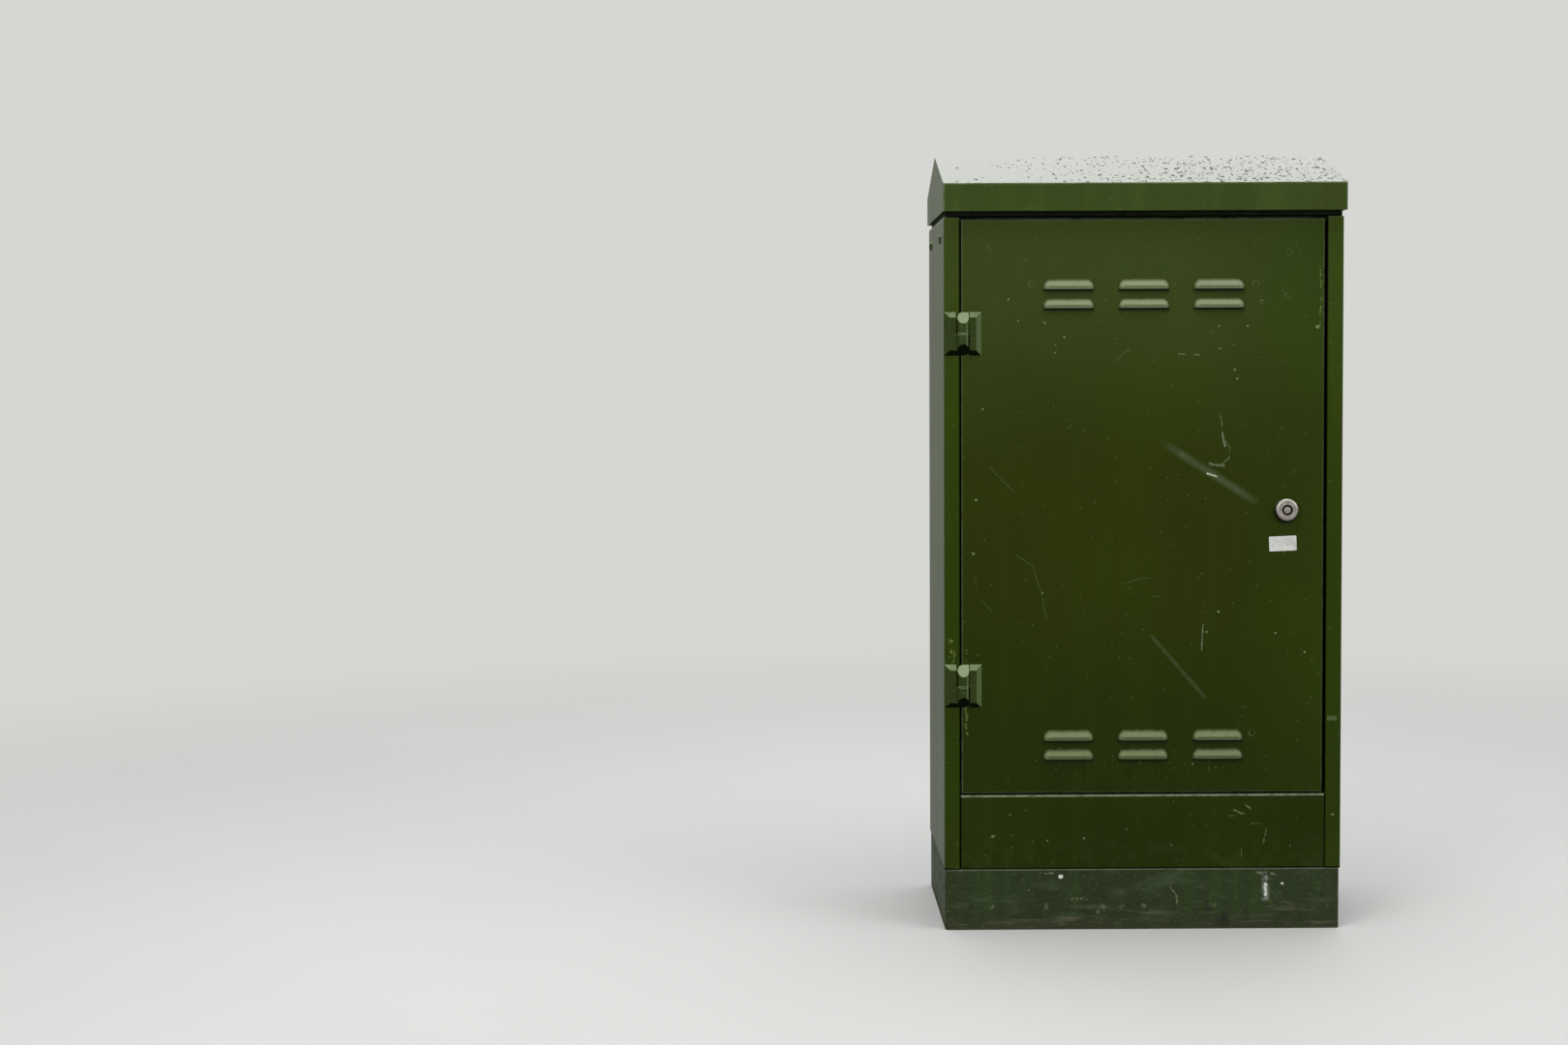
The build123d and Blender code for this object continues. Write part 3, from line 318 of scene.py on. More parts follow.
    def dot(self, place, x, z, radius, soft=0.4):
        """1 on a round spot, fading at its edge."""
        away = self.vector("SUBTRACT", place, (x * MM, 0, z * MM))
        distance = self.vector("LENGTH", away)
        return self.span(distance, radius * MM * (1 - soft), radius * MM * (1 + soft), 1.0, 0.0)

    def dots(self, place, rows, soft=0.4):
        """All specks of a table."""
        return self.most(*(self.dot(place, x, z, radius, soft) for x, z, radius in rows))

    def ring(self, place, centre, radius, width):
        """1 on a thin ring, fading over its width."""
        away = self.vector("SUBTRACT", place, (centre[0] * MM, 0, centre[1] * MM))
        return self.span(self.off(self.vector("LENGTH", away), radius * MM), 0.0, width * MM, 1.0, 0.0)


def weathered_paint(g, colour, moss, streak=0.3, dust=0.5):
    """Common layers of the outdoor paint: fading, rain runs, orange peel, fine specks, and dust with a
    painted highlight on what faces up.
    """
    broad = g.noise(3.2, detail=3.0, offset=1.7)
    runs = g.noise(38.0, stretch=(1, 1, 0.05), detail=5.0, offset=4.1)
    mottled = g.noise(120.0, detail=4.0, offset=2.3)
    body = g.mix(g.span(broad, 0.35, 0.65, 0.0, 0.16), colour, BLACK)
    body = g.mix(g.times(g.span(runs, 0.46, 0.7), streak), body, moss)
    body = g.mix(g.span(mottled, 0.5, 0.75, 0.0, 0.10), body, BLACK)
    cells = g.cells(210.0, offset=0.4)
    g.grit = g.times(g.span(cells.distance, 0.10, 0.22, 1.0, 0.0), g.span(cells.pick, 0.95, 0.965))
    body = g.mix(g.times(g.grit, 0.3), body, linear(150, 160, 115))
    # Paler on what faces up: dust, and a painted highlight where the light falls on top faces
    up = g.span(g.normal_z, 0.35, 0.9)
    body = g.mix(g.times(up, g.span(mottled, 0.3, 0.6), dust), body, linear(120, 132, 92))
    g.raise_by(g.noise(520.0, detail=2.0, offset=7.0), 0.00008)
    g.raise_by(g.noise(2.2, detail=1.0, offset=9.0), 0.0012)
    g.raise_by(g.grit, 0.00025)
    return body


def painted_edge_highlight(g, body, where, strength):
    """A painted highlight along a fold, broken up unevenly."""
    broken_up = g.span(g.noise(75.0, detail=5.0, offset=12.0), 0.30, 0.62, 0.35, 1.0)
    return g.mix(g.times(where, broken_up, strength), body, EDGE_HIGHLIGHT)


def lichen_grain(g, low, high):
    """Breaks a patch of lichen or moss into crumbs."""
    return g.span(g.noise(330.0, detail=3.0, offset=6.0), low, high)


def front_face(g):
    """1 on what faces forward in the plane of the door and the stiles, or stands proud of it."""
    return g.span(g.y, FRONT + 0.0010, FRONT + 0.0002)


def hinge_slots(g):
    """1 on the flat paint that shows in the narrow slots beside the hinge knuckles, where it is painted
    dark as shade.
    """
    slots = []
    for level in HINGE_LEVELS:
        for side, low, high in ((-1, 0.0, KNUCKLE_LENGTH), (1, -KNUCKLE_LENGTH, 0.0)):
            off = g.off(g.x, HINGE_X + side * (KNUCKLE_RADIUS + 0.0004))
            bottom, top = level + low, level + high
            height = g.band(g.z, bottom - 0.0005, bottom, top - 0.0005, top)
            slots.append(g.times(g.span(off, 0.0018, 0.0010), height))
    return g.times(g.most(*slots), g.span(g.y, FRONT + 0.020, FRONT + 0.010))


def door_edges(g, body):
    """Painted highlight along the door's outer fold, and painted shade on the sides behind it and in
    the hinge slots.
    """
    across = g.off(g.x, DOOR_X)
    upright = g.off(g.z, DOOR_Z)
    sides = g.span(across, DOOR_HALF_WIDTH - 0.0017, DOOR_HALF_WIDTH - 0.0003)
    ends = g.span(upright, DOOR_HALF_HEIGHT - 0.0019, DOOR_HALF_HEIGHT - 0.0005)
    rim = g.times(g.most(sides, g.times(ends, 0.7)), g.span(g.y, FRONT + 0.0025, FRONT + 0.0008))
    body = painted_edge_highlight(g, body, rim, 0.55)
    # Painted shade on the door's turned-back sides, seen in the gap
    turned = g.most(
        g.span(across, DOOR_HALF_WIDTH - 0.0006, DOOR_HALF_WIDTH - 0.0002),
        g.span(upright, DOOR_HALF_HEIGHT - 0.0006, DOOR_HALF_HEIGHT - 0.0002),
    )
    turned = g.times(turned, g.span(g.y, FRONT + 0.0016, FRONT + 0.0028))
    body = g.mix(g.times(turned, 0.8), body, BLACK)
    # Painted shade in the hinge slots
    return g.mix(g.times(hinge_slots(g), 0.9), body, BLACK)


def louvre_highlight(g, body):
    """A painted highlight on the louvres, standing for the sky's reflection, weaker on what faces down.
    """
    proud = g.span(g.y, FRONT - 0.0006, FRONT - 0.0035)
    sheen = g.times(proud, g.span(g.noise(170.0, detail=4.0, offset=5.0), 0.25, 0.7, 0.85, 1.0))
    pale = g.mix(g.span(g.z, 0.4, 0.7), linear(116, 127, 90), linear(134, 143, 112))
    return g.mix(g.times(sheen, g.span(g.normal_z, -0.2, 0.5, 0.30, 1.0), 0.9), body, pale)


def louvre_shade(g):
    """The dark line and the soft shade just below each louvre."""
    below = []
    for foot in LOUVRE_FEET:
        line = g.times(g.span(g.z, foot - 0.0034, foot - 0.0020), 0.85)
        soft = g.times(g.span(g.z, foot - 0.0100, foot - 0.0010), 0.4)
        below.append(g.times(g.most(line, soft), g.span(g.z, foot + 0.0004, foot - 0.0002)))
    beside = []
    for centre in LOUVRE_CENTRES:
        off = g.off(g.x, centre)
        beside.append(g.span(off, LOUVRE_HALF_LENGTH + 0.0007, LOUVRE_HALF_LENGTH - 0.0020))
    return g.times(g.most(*below), g.most(*beside))


def make_door_paint():
    g = Graph("door_paint", Specular_IOR_Level=0.07)
    level = g.math("ADD", g.z, g.math("MULTIPLY", g.noise(4.0, detail=2.0), 0.10))
    colour = g.mix(g.span(level, 0.24, 0.66), linear(32, 42, 0), linear(42, 51, 0))
    colour = g.mix(g.span(level, 0.66, 0.98), colour, linear(52, 65, 22))
    colour = g.mix(g.times(g.span(g.x, 0.10, 0.25), 0.5), colour, linear(40, 58, 1))
    # More of the pale up-facing layer, dust and painted highlight, on the proud louvres than on the
    # door behind
    dust = g.span(g.y, FRONT + 0.0005, FRONT + 0.0020, 0.5, 0.15)
    body = weathered_paint(g, colour, linear(47, 60, 6), streak=0.14, dust=dust)
    body = louvre_highlight(g, body)
    body = door_edges(g, body)

    front = front_face(g)
    exact = g.front()
    wavy = g.front(0.006, 45.0)
    fine = g.front(0.0022, 160.0)

    # Two soft scuffs, the long one fading at its ends
    ends = g.times(g.span(g.x, 0.012, 0.06), g.span(g.x, 0.160, 0.125, 0.35, 1.0))
    patchy = g.span(g.noise(90.0, detail=3.0, offset=3.0), 0.3, 0.7, 0.6, 1.0)
    long_scuff = g.times(g.stroke(exact, (17.2, 682.6), (154.0, 595.2), 8.5, 0.95), ends, patchy)
    low_scuff = g.times(g.stroke(exact, (12.2, 408.4), (84.7, 325.0), 4.5, 0.8), patchy)
    faded = g.times(g.most(g.times(long_scuff, 0.40), g.times(low_scuff, 0.26)), front)
    body = g.mix(faded, body, linear(96, 106, 80))

    grain = g.span(g.noise(260.0, detail=4.0, offset=3.0), 0.35, 0.7, 0.35, 1.0)
    scratches = g.most(g.scratches(wavy, DOOR_WAVY_SCRATCHES), g.scratches(fine, DOOR_FINE_SCRATCHES))
    scratches = g.times(scratches, grain, front)
    body = g.mix(scratches, body, linear(190, 198, 168))

    lichen = g.most(
        g.line(wavy, ((242.2, 918.2), (244.4, 873.6), (240.8, 836.4)), 2.2),
        g.line(wavy, ((-245.1, 312.0), (-243.0, 296.0), (-245.5, 286.0), (-244.0, 274.0)), 3.4),
        g.line(wavy, ((-245.0, 390.0), (-245.0, 372.0)), 3.0),
    )
    lichen = g.times(lichen, lichen_grain(g, 0.42, 0.60))
    body = g.mix(g.times(lichen, front, 0.6), body, linear(112, 128, 66))

    # Fine splashed dirt below the lower louvres
    crumbs = g.span(g.noise(300.0, stretch=(1, 1, 0.35), detail=4.0, offset=8.0), 0.60, 0.70)
    near = g.span(g.off(g.x, 0.0), 0.15, 0.11)
    dirt = g.times(g.band(g.z, 0.205, 0.232, 0.236, 0.262), near, crumbs)
    body = g.mix(g.times(dirt, front, 0.35), body, linear(108, 120, 74))

    lock_shade = g.dot(exact, LOCK_X / MM - 1.0, LOCK_Z / MM - 3.0, LOCK_RADIUS / MM + 0.7, 0.06)
    body = g.mix(g.times(lock_shade, front, 0.8), body, BLACK)
    body = g.mix(g.times(louvre_shade(g), front), body, BLACK)

    specks = g.dots(fine, DOOR_SPECKS)
    body = g.mix(g.times(specks, front, 0.55), body, linear(140, 154, 108))
    rings = g.most(*(
        g.ring(exact, centre, WELD_RING_RADIUS, WELD_RING_WIDTH) for centre in WELD_RINGS
    ))
    lit = g.times(rings, g.span(g.noise(60.0, detail=2.0, offset=2.0), 0.4, 0.6))
    body = g.mix(g.times(lit, front, 0.6), body, linear(84, 98, 58))
    g.raise_by(g.times(rings, front), 0.0005)
    g.raise_by(g.times(g.most(scratches, specks), front), -0.00012)
    rough = g.span(g.math("ADD", g.most(faded, scratches), g.grit), 0.0, 1.0, 0.38, 0.72)
    return g.finish(body, rough)


def make_body_paint():
    g = Graph("body_paint")
    colour = g.mix(g.span(g.z, 0.3, 0.75), linear(39, 54, 0), linear(45, 62, 1))
    faded = g.times(g.span(g.z, 0.70, 0.96), g.span(g.x, 0.24, 0.27, 1.0, 0.5))
    colour = g.mix(faded, colour, linear(54, 68, 20))
    forward = g.span(g.y, FRONT + 0.035, FRONT + 0.025)
    kick = g.times(g.span(g.z, KICK_TOP + 0.004, KICK_TOP - 0.002), forward)
    inner = g.band(
        g.x, -KICK_HALF_WIDTH - 0.0010, -KICK_HALF_WIDTH, KICK_HALF_WIDTH, KICK_HALF_WIDTH + 0.0010
    )
    colour = g.mix(g.times(kick, inner, 0.95), colour, linear(34, 43, 0))
    streak = g.span(kick, 0.0, 1.0, 0.22, 0.08)
    body = weathered_paint(g, colour, linear(54, 70, 10), streak=streak, dust=0.2)

    # Painted highlights on the folds: the kick panel's upper edge, the sides' upper edges and the
    # stiles' outer edges
    across = g.off(g.x, 0.0)
    behind = g.span(g.y, FRONT + 0.0005, FRONT + 0.0025)
    kick_fold = g.band(g.z, KICK_TOP - 0.0030, KICK_TOP - 0.0010, KICK_TOP + 0.01, KICK_TOP + 0.02)
    top_fold = g.span(g.z, BODY_TOP - 0.0034, BODY_TOP - 0.0014)
    outer_fold = g.span(across, BODY_HALF_WIDTH - 0.0014, BODY_HALF_WIDTH - 0.0003)
    fold = g.most(
        g.times(kick_fold, inner, forward, 1.6),
        g.times(top_fold, g.math("ADD", g.times(behind, 1.2), 0.15)),
        g.times(outer_fold, g.span(g.y, FRONT + 0.0030, FRONT + 0.0012), 0.5),
    )
    body = painted_edge_highlight(g, body, fold, 0.8)

    # Painted shade in the joints: around the door, under the roof and above the plinth
    gap = g.times(
        g.span(across, OPENING_HALF_WIDTH + 0.0004, OPENING_HALF_WIDTH - 0.0004),
        g.span(g.z, KICK_TOP + 0.001, KICK_TOP + 0.003),
        g.span(g.y, FRONT + 0.0010, FRONT + 0.0030),
        g.span(g.y, FRONT + 0.018, FRONT + 0.012),
    )
    joint_shade = g.most(
        gap,
        g.span(g.z, BODY_TOP + 0.0002, BODY_TOP + 0.0008),
        g.times(g.span(g.z, PLINTH_TOP + 0.0032, PLINTH_TOP + 0.0018), 0.9),
    )
    dark = g.most(g.times(joint_shade, 0.95), g.times(hinge_slots(g), 0.9))
    body = g.mix(dark, body, BLACK)
    g.put(g.shader.inputs["Specular IOR Level"], g.span(dark, 0.0, 1.0, 0.07, 0.0))

    front = front_face(g)
    wavy = g.front(0.010, 55.0)
    fine = g.front(0.0022, 160.0)
    broken = g.span(g.noise(210.0, detail=4.0, offset=3.0), 0.36, 0.52)
    scratches = g.most(g.scratches(wavy, BODY_WAVY_SCRATCHES), g.scratches(fine, BODY_FINE_SCRATCHES))
    specks = g.dots(fine, BODY_SPECKS)
    marks = g.times(g.most(g.times(scratches, broken, 0.6), g.times(specks, 0.4)), front)
    body = g.mix(marks, body, linear(144, 156, 110))

    # A small rubbed patch on the right stile and moss on the left one
    patch = g.times(
        g.band(g.x, 0.2545, 0.2555, 0.2680, 0.2695), g.band(g.z, 0.2900, 0.2912, 0.2963, 0.2975), front
    )
    body = g.mix(g.times(patch, 0.28), body, linear(120, 135, 95))
    moss = g.line(g.front(0.014, 70.0), ((-266.0, 405.0), (-264.0, 372.0)), 7.0)
    moss = g.times(moss, lichen_grain(g, 0.52, 0.62), front)
    body = g.mix(g.times(moss, 0.6), body, linear(116, 130, 66))
    foot = g.times(g.span(g.z, 0.16, 0.088), g.span(g.noise(70.0, detail=5.0, offset=8.0), 0.45, 0.65))
    body = g.mix(g.times(foot, 0.07), body, linear(84, 92, 58))
    return g.finish(body, g.span(g.math("ADD", marks, g.grit), 0.0, 1.0, 0.40, 0.70))


def roof_drops(g):
    """Water drops in three sizes: thick on the right and the front, few on the left."""
    rain = g.math(
        "ADD",
        g.span(g.x, -0.27, 0.08, -0.05, 0.85),
        g.span(g.y, LIP_FRONT + 0.146, LIP_FRONT + 0.006, -0.10, 0.22),
    )
    clump = g.span(g.noise(24.0, detail=3.0, offset=1.0), 0.3, 0.7, -0.25, 0.25)
    rain = g.math("ADD", rain, clump)
    drops = []
    layers = ((100.0, 0.0, 0.60, 0.29), (140.0, 3.0, 0.64, 0.30), (200.0, 6.0, 0.60, 0.32))
    for scale, offset, share, size in layers:
        cells = g.cells(scale, offset=offset, stretch=(1, 0.5, 1))
        wide = g.math("MULTIPLY", g.span(cells.size, 0.0, 1.0, 0.55, 1.25, smooth=False), size)
        near = g.math("DIVIDE", cells.distance, wide)
        wanted = g.math("SUBTRACT", g.math("MULTIPLY", rain, share), cells.pick)
        drops.append(g.times(g.span(near, 0.70, 1.0, 1.0, 0.0), g.span(wanted, 0.0, 0.02)))
    return g.most(*drops)


def make_roof_paint():
    g = Graph("roof_paint")
    body = weathered_paint(g, linear(52, 66, 20), linear(66, 80, 34), dust=0.0)

    # The slopes are wet: a glossy film between duller drops. The film's paler colour is partly a
    # painted reflection of the sky, and the drops are painted darker.
    slopes = g.times(g.span(g.normal_z, 0.5, 0.8), g.span(g.z, 1.02, 1.03))
    drop = g.times(roof_drops(g), slopes)
    film = g.times(slopes, g.math("SUBTRACT", 1.0, drop))
    sheen_patches = g.span(g.noise(9.0, detail=4.0, offset=2.0), 0.25, 0.75, 0.72, 1.0)
    body = g.mix(g.times(film, sheen_patches, 0.9), body, linear(74, 82, 62))
    body = g.mix(g.times(drop, 0.9), body, linear(24, 32, 14))

    # Painted highlights along the lip's upper fold and at its ends
    lip_top = g.times(
        g.band(g.z, LIP_HIGH - 0.0025, LIP_HIGH - 0.0005, LIP_HIGH + 0.001, LIP_HIGH + 0.0025),
        g.span(g.y, LIP_FRONT + 0.006, LIP_FRONT + 0.0005),
    )
    body = painted_edge_highlight(g, body, lip_top, 0.8)
    lip_ends = g.times(
        g.span(g.off(g.x, 0.0), LIP_HALF_WIDTH - 0.0030, LIP_HALF_WIDTH - 0.0007),
        g.span(g.y, LIP_FRONT + 0.0035, LIP_FRONT + 0.0012),
    )
    body = painted_edge_highlight(g, body, lip_ends, 0.5)

    lip = g.span(g.y, LIP_FRONT + 0.0015, LIP_FRONT + 0.0005)
    cells = g.cells(330.0, offset=5.0, stretch=(1, 1, 0.7))
    spatter = g.times(g.span(cells.distance, 0.14, 0.26, 1.0, 0.0), g.span(cells.pick, 0.80, 0.84), lip)
    body = g.mix(g.times(spatter, 0.5), body, linear(40, 50, 20))
    low_edge = g.times(
        g.span(g.z, LIP_LOW + 0.009, LIP_LOW + 0.001),
        g.span(g.noise(60.0, stretch=(1, 1, 2), detail=4.0), 0.5, 0.7),
    )
    body = g.mix(g.times(low_edge, 0.3), body, linear(74, 90, 50))
    g.raise_by(drop, 0.0008)
    g.raise_by(spatter, 0.00015)
    g.put(g.shader.inputs["Specular IOR Level"], g.span(film, 0.0, 1.0, 0.10, 0.45))
    return g.finish(body, g.span(film, 0.0, 1.0, 0.42, 0.24))


def plinth_spills(g, fine, cut):
    """White paint on the plinth: round spots, a broken run and faint dashes."""
    broken = g.span(g.noise(240.0, detail=3.0, offset=9.0), 0.35, 0.52, 0.35, 1.0)
    halo = g.stroke(g.front(0.004, 110.0), (171.1, 74.0), (171.3, 42.0), 7.0, 1.0)
    run = g.stroke(g.front(0.005, 150.0), (171.0, 57.0), (171.8, 47.0), 4.2, 0.9)
    return g.most(
        g.times(halo, cut, 0.25),
        g.times(g.dot(fine, 171.2, 61.5, 2.3), 0.9),
        g.times(run, broken, 0.9),
        g.dot(fine, -113.2, 73.8, 2.7),
        g.times(g.dot(fine, 194.6, 62.5, 1.6), 0.8),
        g.times(g.stroke(fine, (-142.0, 79.0), (-118.0, 79.0), 2.4, 0.9), cut, 0.16),
        g.times(g.stroke(fine, (160.0, 78.0), (184.0, 76.0), 3.0, 0.9), cut, 0.16),
    )


def make_plinth_paint():
    g = Graph("plinth_paint", Specular_IOR_Level=0.12)
    body = weathered_paint(g, linear(40, 52, 24), linear(50, 64, 32), streak=0.5, dust=0.8)
    front = g.span(g.y, PLINTH_FRONT + 0.0012, PLINTH_FRONT + 0.0004)
    wavy = g.front(0.010, 55.0)
    fine = g.front(0.003, 160.0)

    cloud = g.noise(26.0, stretch=(0.6, 1, 1.6), detail=6.0, offset=3.0, roughness=0.65)
    body = g.mix(g.times(g.span(cloud, 0.5, 0.72), 0.42), body, linear(74, 86, 60))
    smear = g.noise(62.0, stretch=(0.22, 0.5, 2.4), detail=6.0, offset=6.0, roughness=0.7)
    low = g.span(g.z, 0.052, 0.020)
    body = g.mix(g.times(g.span(smear, 0.52, 0.66), low, 0.6), body, linear(96, 92, 72))
    mud = g.times(g.span(g.z, 0.024, 0.004), g.span(g.noise(48.0, detail=6.0, offset=1.0), 0.30, 0.58))
    body = g.mix(g.times(mud, 0.85), body, linear(54, 52, 38))
    stains = g.dots(wavy, ((111.7, 13.0, 9.0), (92.0, 28.0, 5.0)), 0.7)
    body = g.mix(g.times(stains, front, 0.8), body, linear(34, 36, 28))

    flecks = g.span(g.noise(330.0, stretch=(0.5, 1, 1), detail=4.0, offset=11.0), 0.60, 0.68)
    body = g.mix(g.times(flecks, front, 0.30), body, linear(104, 112, 84))
    pores = g.span(g.noise(150.0, stretch=(0.6, 1, 1), detail=4.0, offset=14.0), 0.60, 0.70)
    body = g.mix(g.times(pores, front, 0.35), body, linear(24, 32, 14))
    cut = g.span(g.noise(190.0, detail=4.0, offset=3.0), 0.38, 0.55)
    spills = plinth_spills(g, fine, cut)
    body = g.mix(g.times(spills, front), body, linear(214, 216, 208))

    marks = g.most(
        g.line(fine, ((39.8, 57.7), (46.0, 50.0), (49.3, 34.8)), 2.2, 0.8),
        g.times(g.stroke(wavy, (-103.7, 43.3), (-79.1, 43.1), 3.6, 0.9), cut, 0.8),
        g.times(g.dots(fine, PLINTH_SPECKS, 0.9), 0.7),
    )
    body = g.mix(g.times(marks, cut, front, 0.5), body, linear(132, 138, 104))
    # Painted highlight along the plinth's upper fold, broken up unevenly
    broken_up = g.span(g.noise(80.0, detail=4.0), 0.30, 0.55, 0.45, 1.0)
    rim = g.times(g.span(g.z, PLINTH_TOP - 0.0026, PLINTH_TOP - 0.0008), broken_up)
    body = g.mix(g.times(rim, 0.6), body, linear(112, 120, 98))
    g.raise_by(g.times(g.most(spills, stains), front), 0.0003)
    g.raise_by(mud, 0.0005)
    g.raise_by(cloud, 0.0003)
    return g.finish(body, g.span(g.most(mud, smear), 0.3, 0.8, 0.5, 0.85))


def make_hinge_paint():
    g = Graph("hinge_paint", roughness=0.4)
    body = weathered_paint(g, linear(40, 54, 10), linear(54, 70, 28), dust=0.3)
    knuckle = g.off(g.x, HINGE_X)
    on_knuckle = g.span(knuckle, KNUCKLE_RADIUS + 0.0002, KNUCKLE_RADIUS - 0.0002)

    # Painted highlights: paler upper ends, knuckle tops and right bevels, where the light falls
    up = g.span(g.normal_z, 0.4, 0.65)
    blotches = g.span(g.noise(150.0, detail=4.0, offset=2.0), 0.25, 0.6, 0.5, 1.0)
    body = g.mix(g.times(up, blotches, 0.9), body, linear(112, 126, 86))
    bevel = g.times(
        g.span(g.normal_x, 0.45, 0.65), g.span(g.normal_z, 0.4, 0.2), g.span(g.normal_y, -0.45, -0.6)
    )
    body = g.mix(g.times(bevel, 0.75), body, linear(94, 110, 72))
    body = g.mix(g.times(up, on_knuckle, 0.5), body, linear(146, 158, 124))

    # A thin painted highlight where the two knuckles meet
    meeting = []
    for level in HINGE_LEVELS:
        meeting.append(g.band(g.off(g.z, level), 0.0003, 0.0006, 0.0010, 0.0018))
    body = g.mix(g.times(g.most(*meeting), on_knuckle, 0.6), body, linear(128, 140, 106))
    scrape = g.noise(45.0, stretch=(1, 1, 9.0), detail=5.0, offset=4.0)
    body = g.mix(g.times(g.span(scrape, 0.56, 0.7), 0.18), body, linear(100, 112, 80))

    # Painted shade on the undersides and in the slots beside the knuckles
    down = g.span(g.normal_z, -0.4, -0.65)
    flank = g.times(
        g.band(
            knuckle, KNUCKLE_RADIUS - 0.0002, KNUCKLE_RADIUS + 0.0004,
            KNUCKLE_RADIUS + 0.0011, KNUCKLE_RADIUS + 0.0016,
        ),
        g.span(g.y, FRONT - 0.0068, FRONT - 0.0060),
    )
    dark = g.most(g.times(down, 0.97), g.times(flank, 0.9))
    body = g.mix(dark, body, BLACK)
    g.put(g.shader.inputs["Specular IOR Level"], g.span(dark, 0.0, 1.0, 0.13, 0.0))
    g.raise_by(g.noise(300.0, detail=3.0), 0.00012)
    return g.finish(body)


def make_metal(name, colour, dark, rough, grain, grain_height, spangle=0.0):
    """Bare or plated metal with stains, a grain and, on galvanised sheet, spangles."""
    g = Graph(name, Metallic=1.0)
    stain = g.noise(55.0, detail=5.0, offset=2.0)
    body = g.mix(g.span(stain, 0.42, 0.72), colour, dark)
    if spangle:
        body = g.mix(g.math("MULTIPLY", g.cells(90.0, offset=1.0).pick, spangle), body, dark)
    g.raise_by(g.noise(320.0, stretch=grain, detail=3.0, offset=1.0), grain_height)
    spots = g.noise(160.0, detail=3.0, offset=5.0)
    return g.finish(body, g.span(spots, 0.3, 0.7, rough - 0.07, rough + 0.1))


def make_lock_face():
    g = Graph("lock_face")
    place = g.vector("SUBTRACT", g.front(), (LOCK_X, 0.0, LOCK_Z))
    radius = g.vector("LENGTH", place)
    above = g.math("SUBTRACT", g.z, LOCK_Z)
    turned = g.node(
        "ShaderNodeTexNoise", {"noise_dimensions": "1D"}, W=radius, Scale=5200.0, Detail=3.0
    ).outputs["Fac"]
    stain = g.noise(150.0, detail=5.0, offset=2.0, roughness=0.6)
    body = g.mix(g.span(stain, 0.38, 0.68), linear(168, 160, 154), linear(132, 124, 118))
    pits = g.span(g.noise(520.0, detail=3.0, offset=6.0), 0.64, 0.72)
    body = g.mix(g.times(pits, 0.35), body, linear(86, 78, 70))

    # Painted shade: the keyway groove painted black
    ring = g.band(radius, KEYWAY_INNER - 0.0003, KEYWAY_INNER, KEYWAY_OUTER, KEYWAY_OUTER + 0.0003)
    keyway = g.times(ring, g.span(g.y, FRONT, FRONT - 0.0010))
    body = g.mix(keyway, body, (0.002, 0.002, 0.002, 1.0))
    # Painted highlight on the upper rim and painted shade on the lower rim
    rim = g.span(radius, LOCK_RADIUS - 0.0031, LOCK_RADIUS - 0.0017)
    body = g.mix(g.times(rim, g.span(above, 0.0, 0.011), 0.6), body, linear(206, 206, 192))
    body = g.mix(g.times(rim, g.span(above, 0.002, -0.011), 0.7), body, linear(84, 76, 70))
    # Painted shade on the lower flank of the bezel
    flank = g.span(radius, LOCK_RADIUS - 0.0009, LOCK_RADIUS - 0.0003)
    body = g.mix(g.times(flank, g.span(above, 0.005, -0.007), 0.85), body, BLACK)
    g.raise_by(turned, 0.00003)
    g.raise_by(pits, -0.00004)
    g.put(g.shader.inputs["Metallic"], g.span(keyway, 0.0, 1.0, 0.85, 0.0))
    return g.finish(body, g.span(stain, 0.3, 0.7, 0.30, 0.46))


def make_rubber(name, colour, dust):
    g = Graph(name, Specular_IOR_Level=0.35)
    blotches = g.noise(130.0, detail=5.0, offset=1.0)
    body = g.mix(g.span(blotches, 0.45, 0.75), colour, dust)
    g.raise_by(g.noise(900.0, detail=2.0), 0.00015)
    return g.finish(body, g.span(blotches, 0.3, 0.7, 0.65, 0.9))


def make_plastic(name, colour, shade, rough=0.45):
    g = Graph(name, Specular_IOR_Level=0.5)
    cloud = g.noise(35.0, detail=4.0, offset=1.0)
    body = g.mix(g.span(cloud, 0.35, 0.7), colour, shade)
    g.raise_by(g.noise(1400.0, detail=2.0), 0.00005)
    return g.finish(body, g.span(cloud, 0.3, 0.7, rough - 0.06, rough + 0.12))


def make_label():
    g = Graph("label_vinyl", roughness=0.5, Specular_IOR_Level=0.4)
    aged = g.noise(70.0, detail=5.0, offset=4.0, roughness=0.65)
    body = g.mix(g.span(aged, 0.4, 0.72), linear(204, 204, 199), linear(176, 175, 170))
    creases = g.noise(420.0, stretch=(0.35, 1, 1.6), detail=4.0, offset=2.0)
    body = g.mix(g.times(g.span(creases, 0.52, 0.68), 0.35), body, linear(150, 147, 140))
    g.raise_by(creases, 0.00030)
    return g.finish(body)


def make_floor():
    """A pale floor that fades into the backdrop away from the cabinet."""
    fade_start, fade_end = 1.1, 3.4
    g = Graph("studio_floor", roughness=0.75, Specular_IOR_Level=0.2)
    body = g.mix(g.noise(1.3, detail=4.0), linear(206, 206, 203), linear(199, 199, 196))
    g.raise_by(g.noise(140.0, detail=3.0), 0.0003)
    g.finish(body)
    away = g.vector("LENGTH", g.node("ShaderNodeCombineXYZ", X=g.x, Y=g.y, Z=0.0).outputs[0])
    blend = g.node("ShaderNodeMixShader")
    g.put(blend.inputs[0], g.span(away, fade_start, fade_end))
    g.put(blend.inputs[1], g.shader.outputs[0])
    g.put(blend.inputs[2], g.node("ShaderNodeBsdfTransparent").outputs[0])
    output = g.tree.nodes["Material Output"]
    g.put(output.inputs["Surface"], blend.outputs[0])
    return g.material


def dress(material, *names):
    for name in names:
        node = NODES[name]
        node.data.materials.clear()
        node.data.materials.append(material)


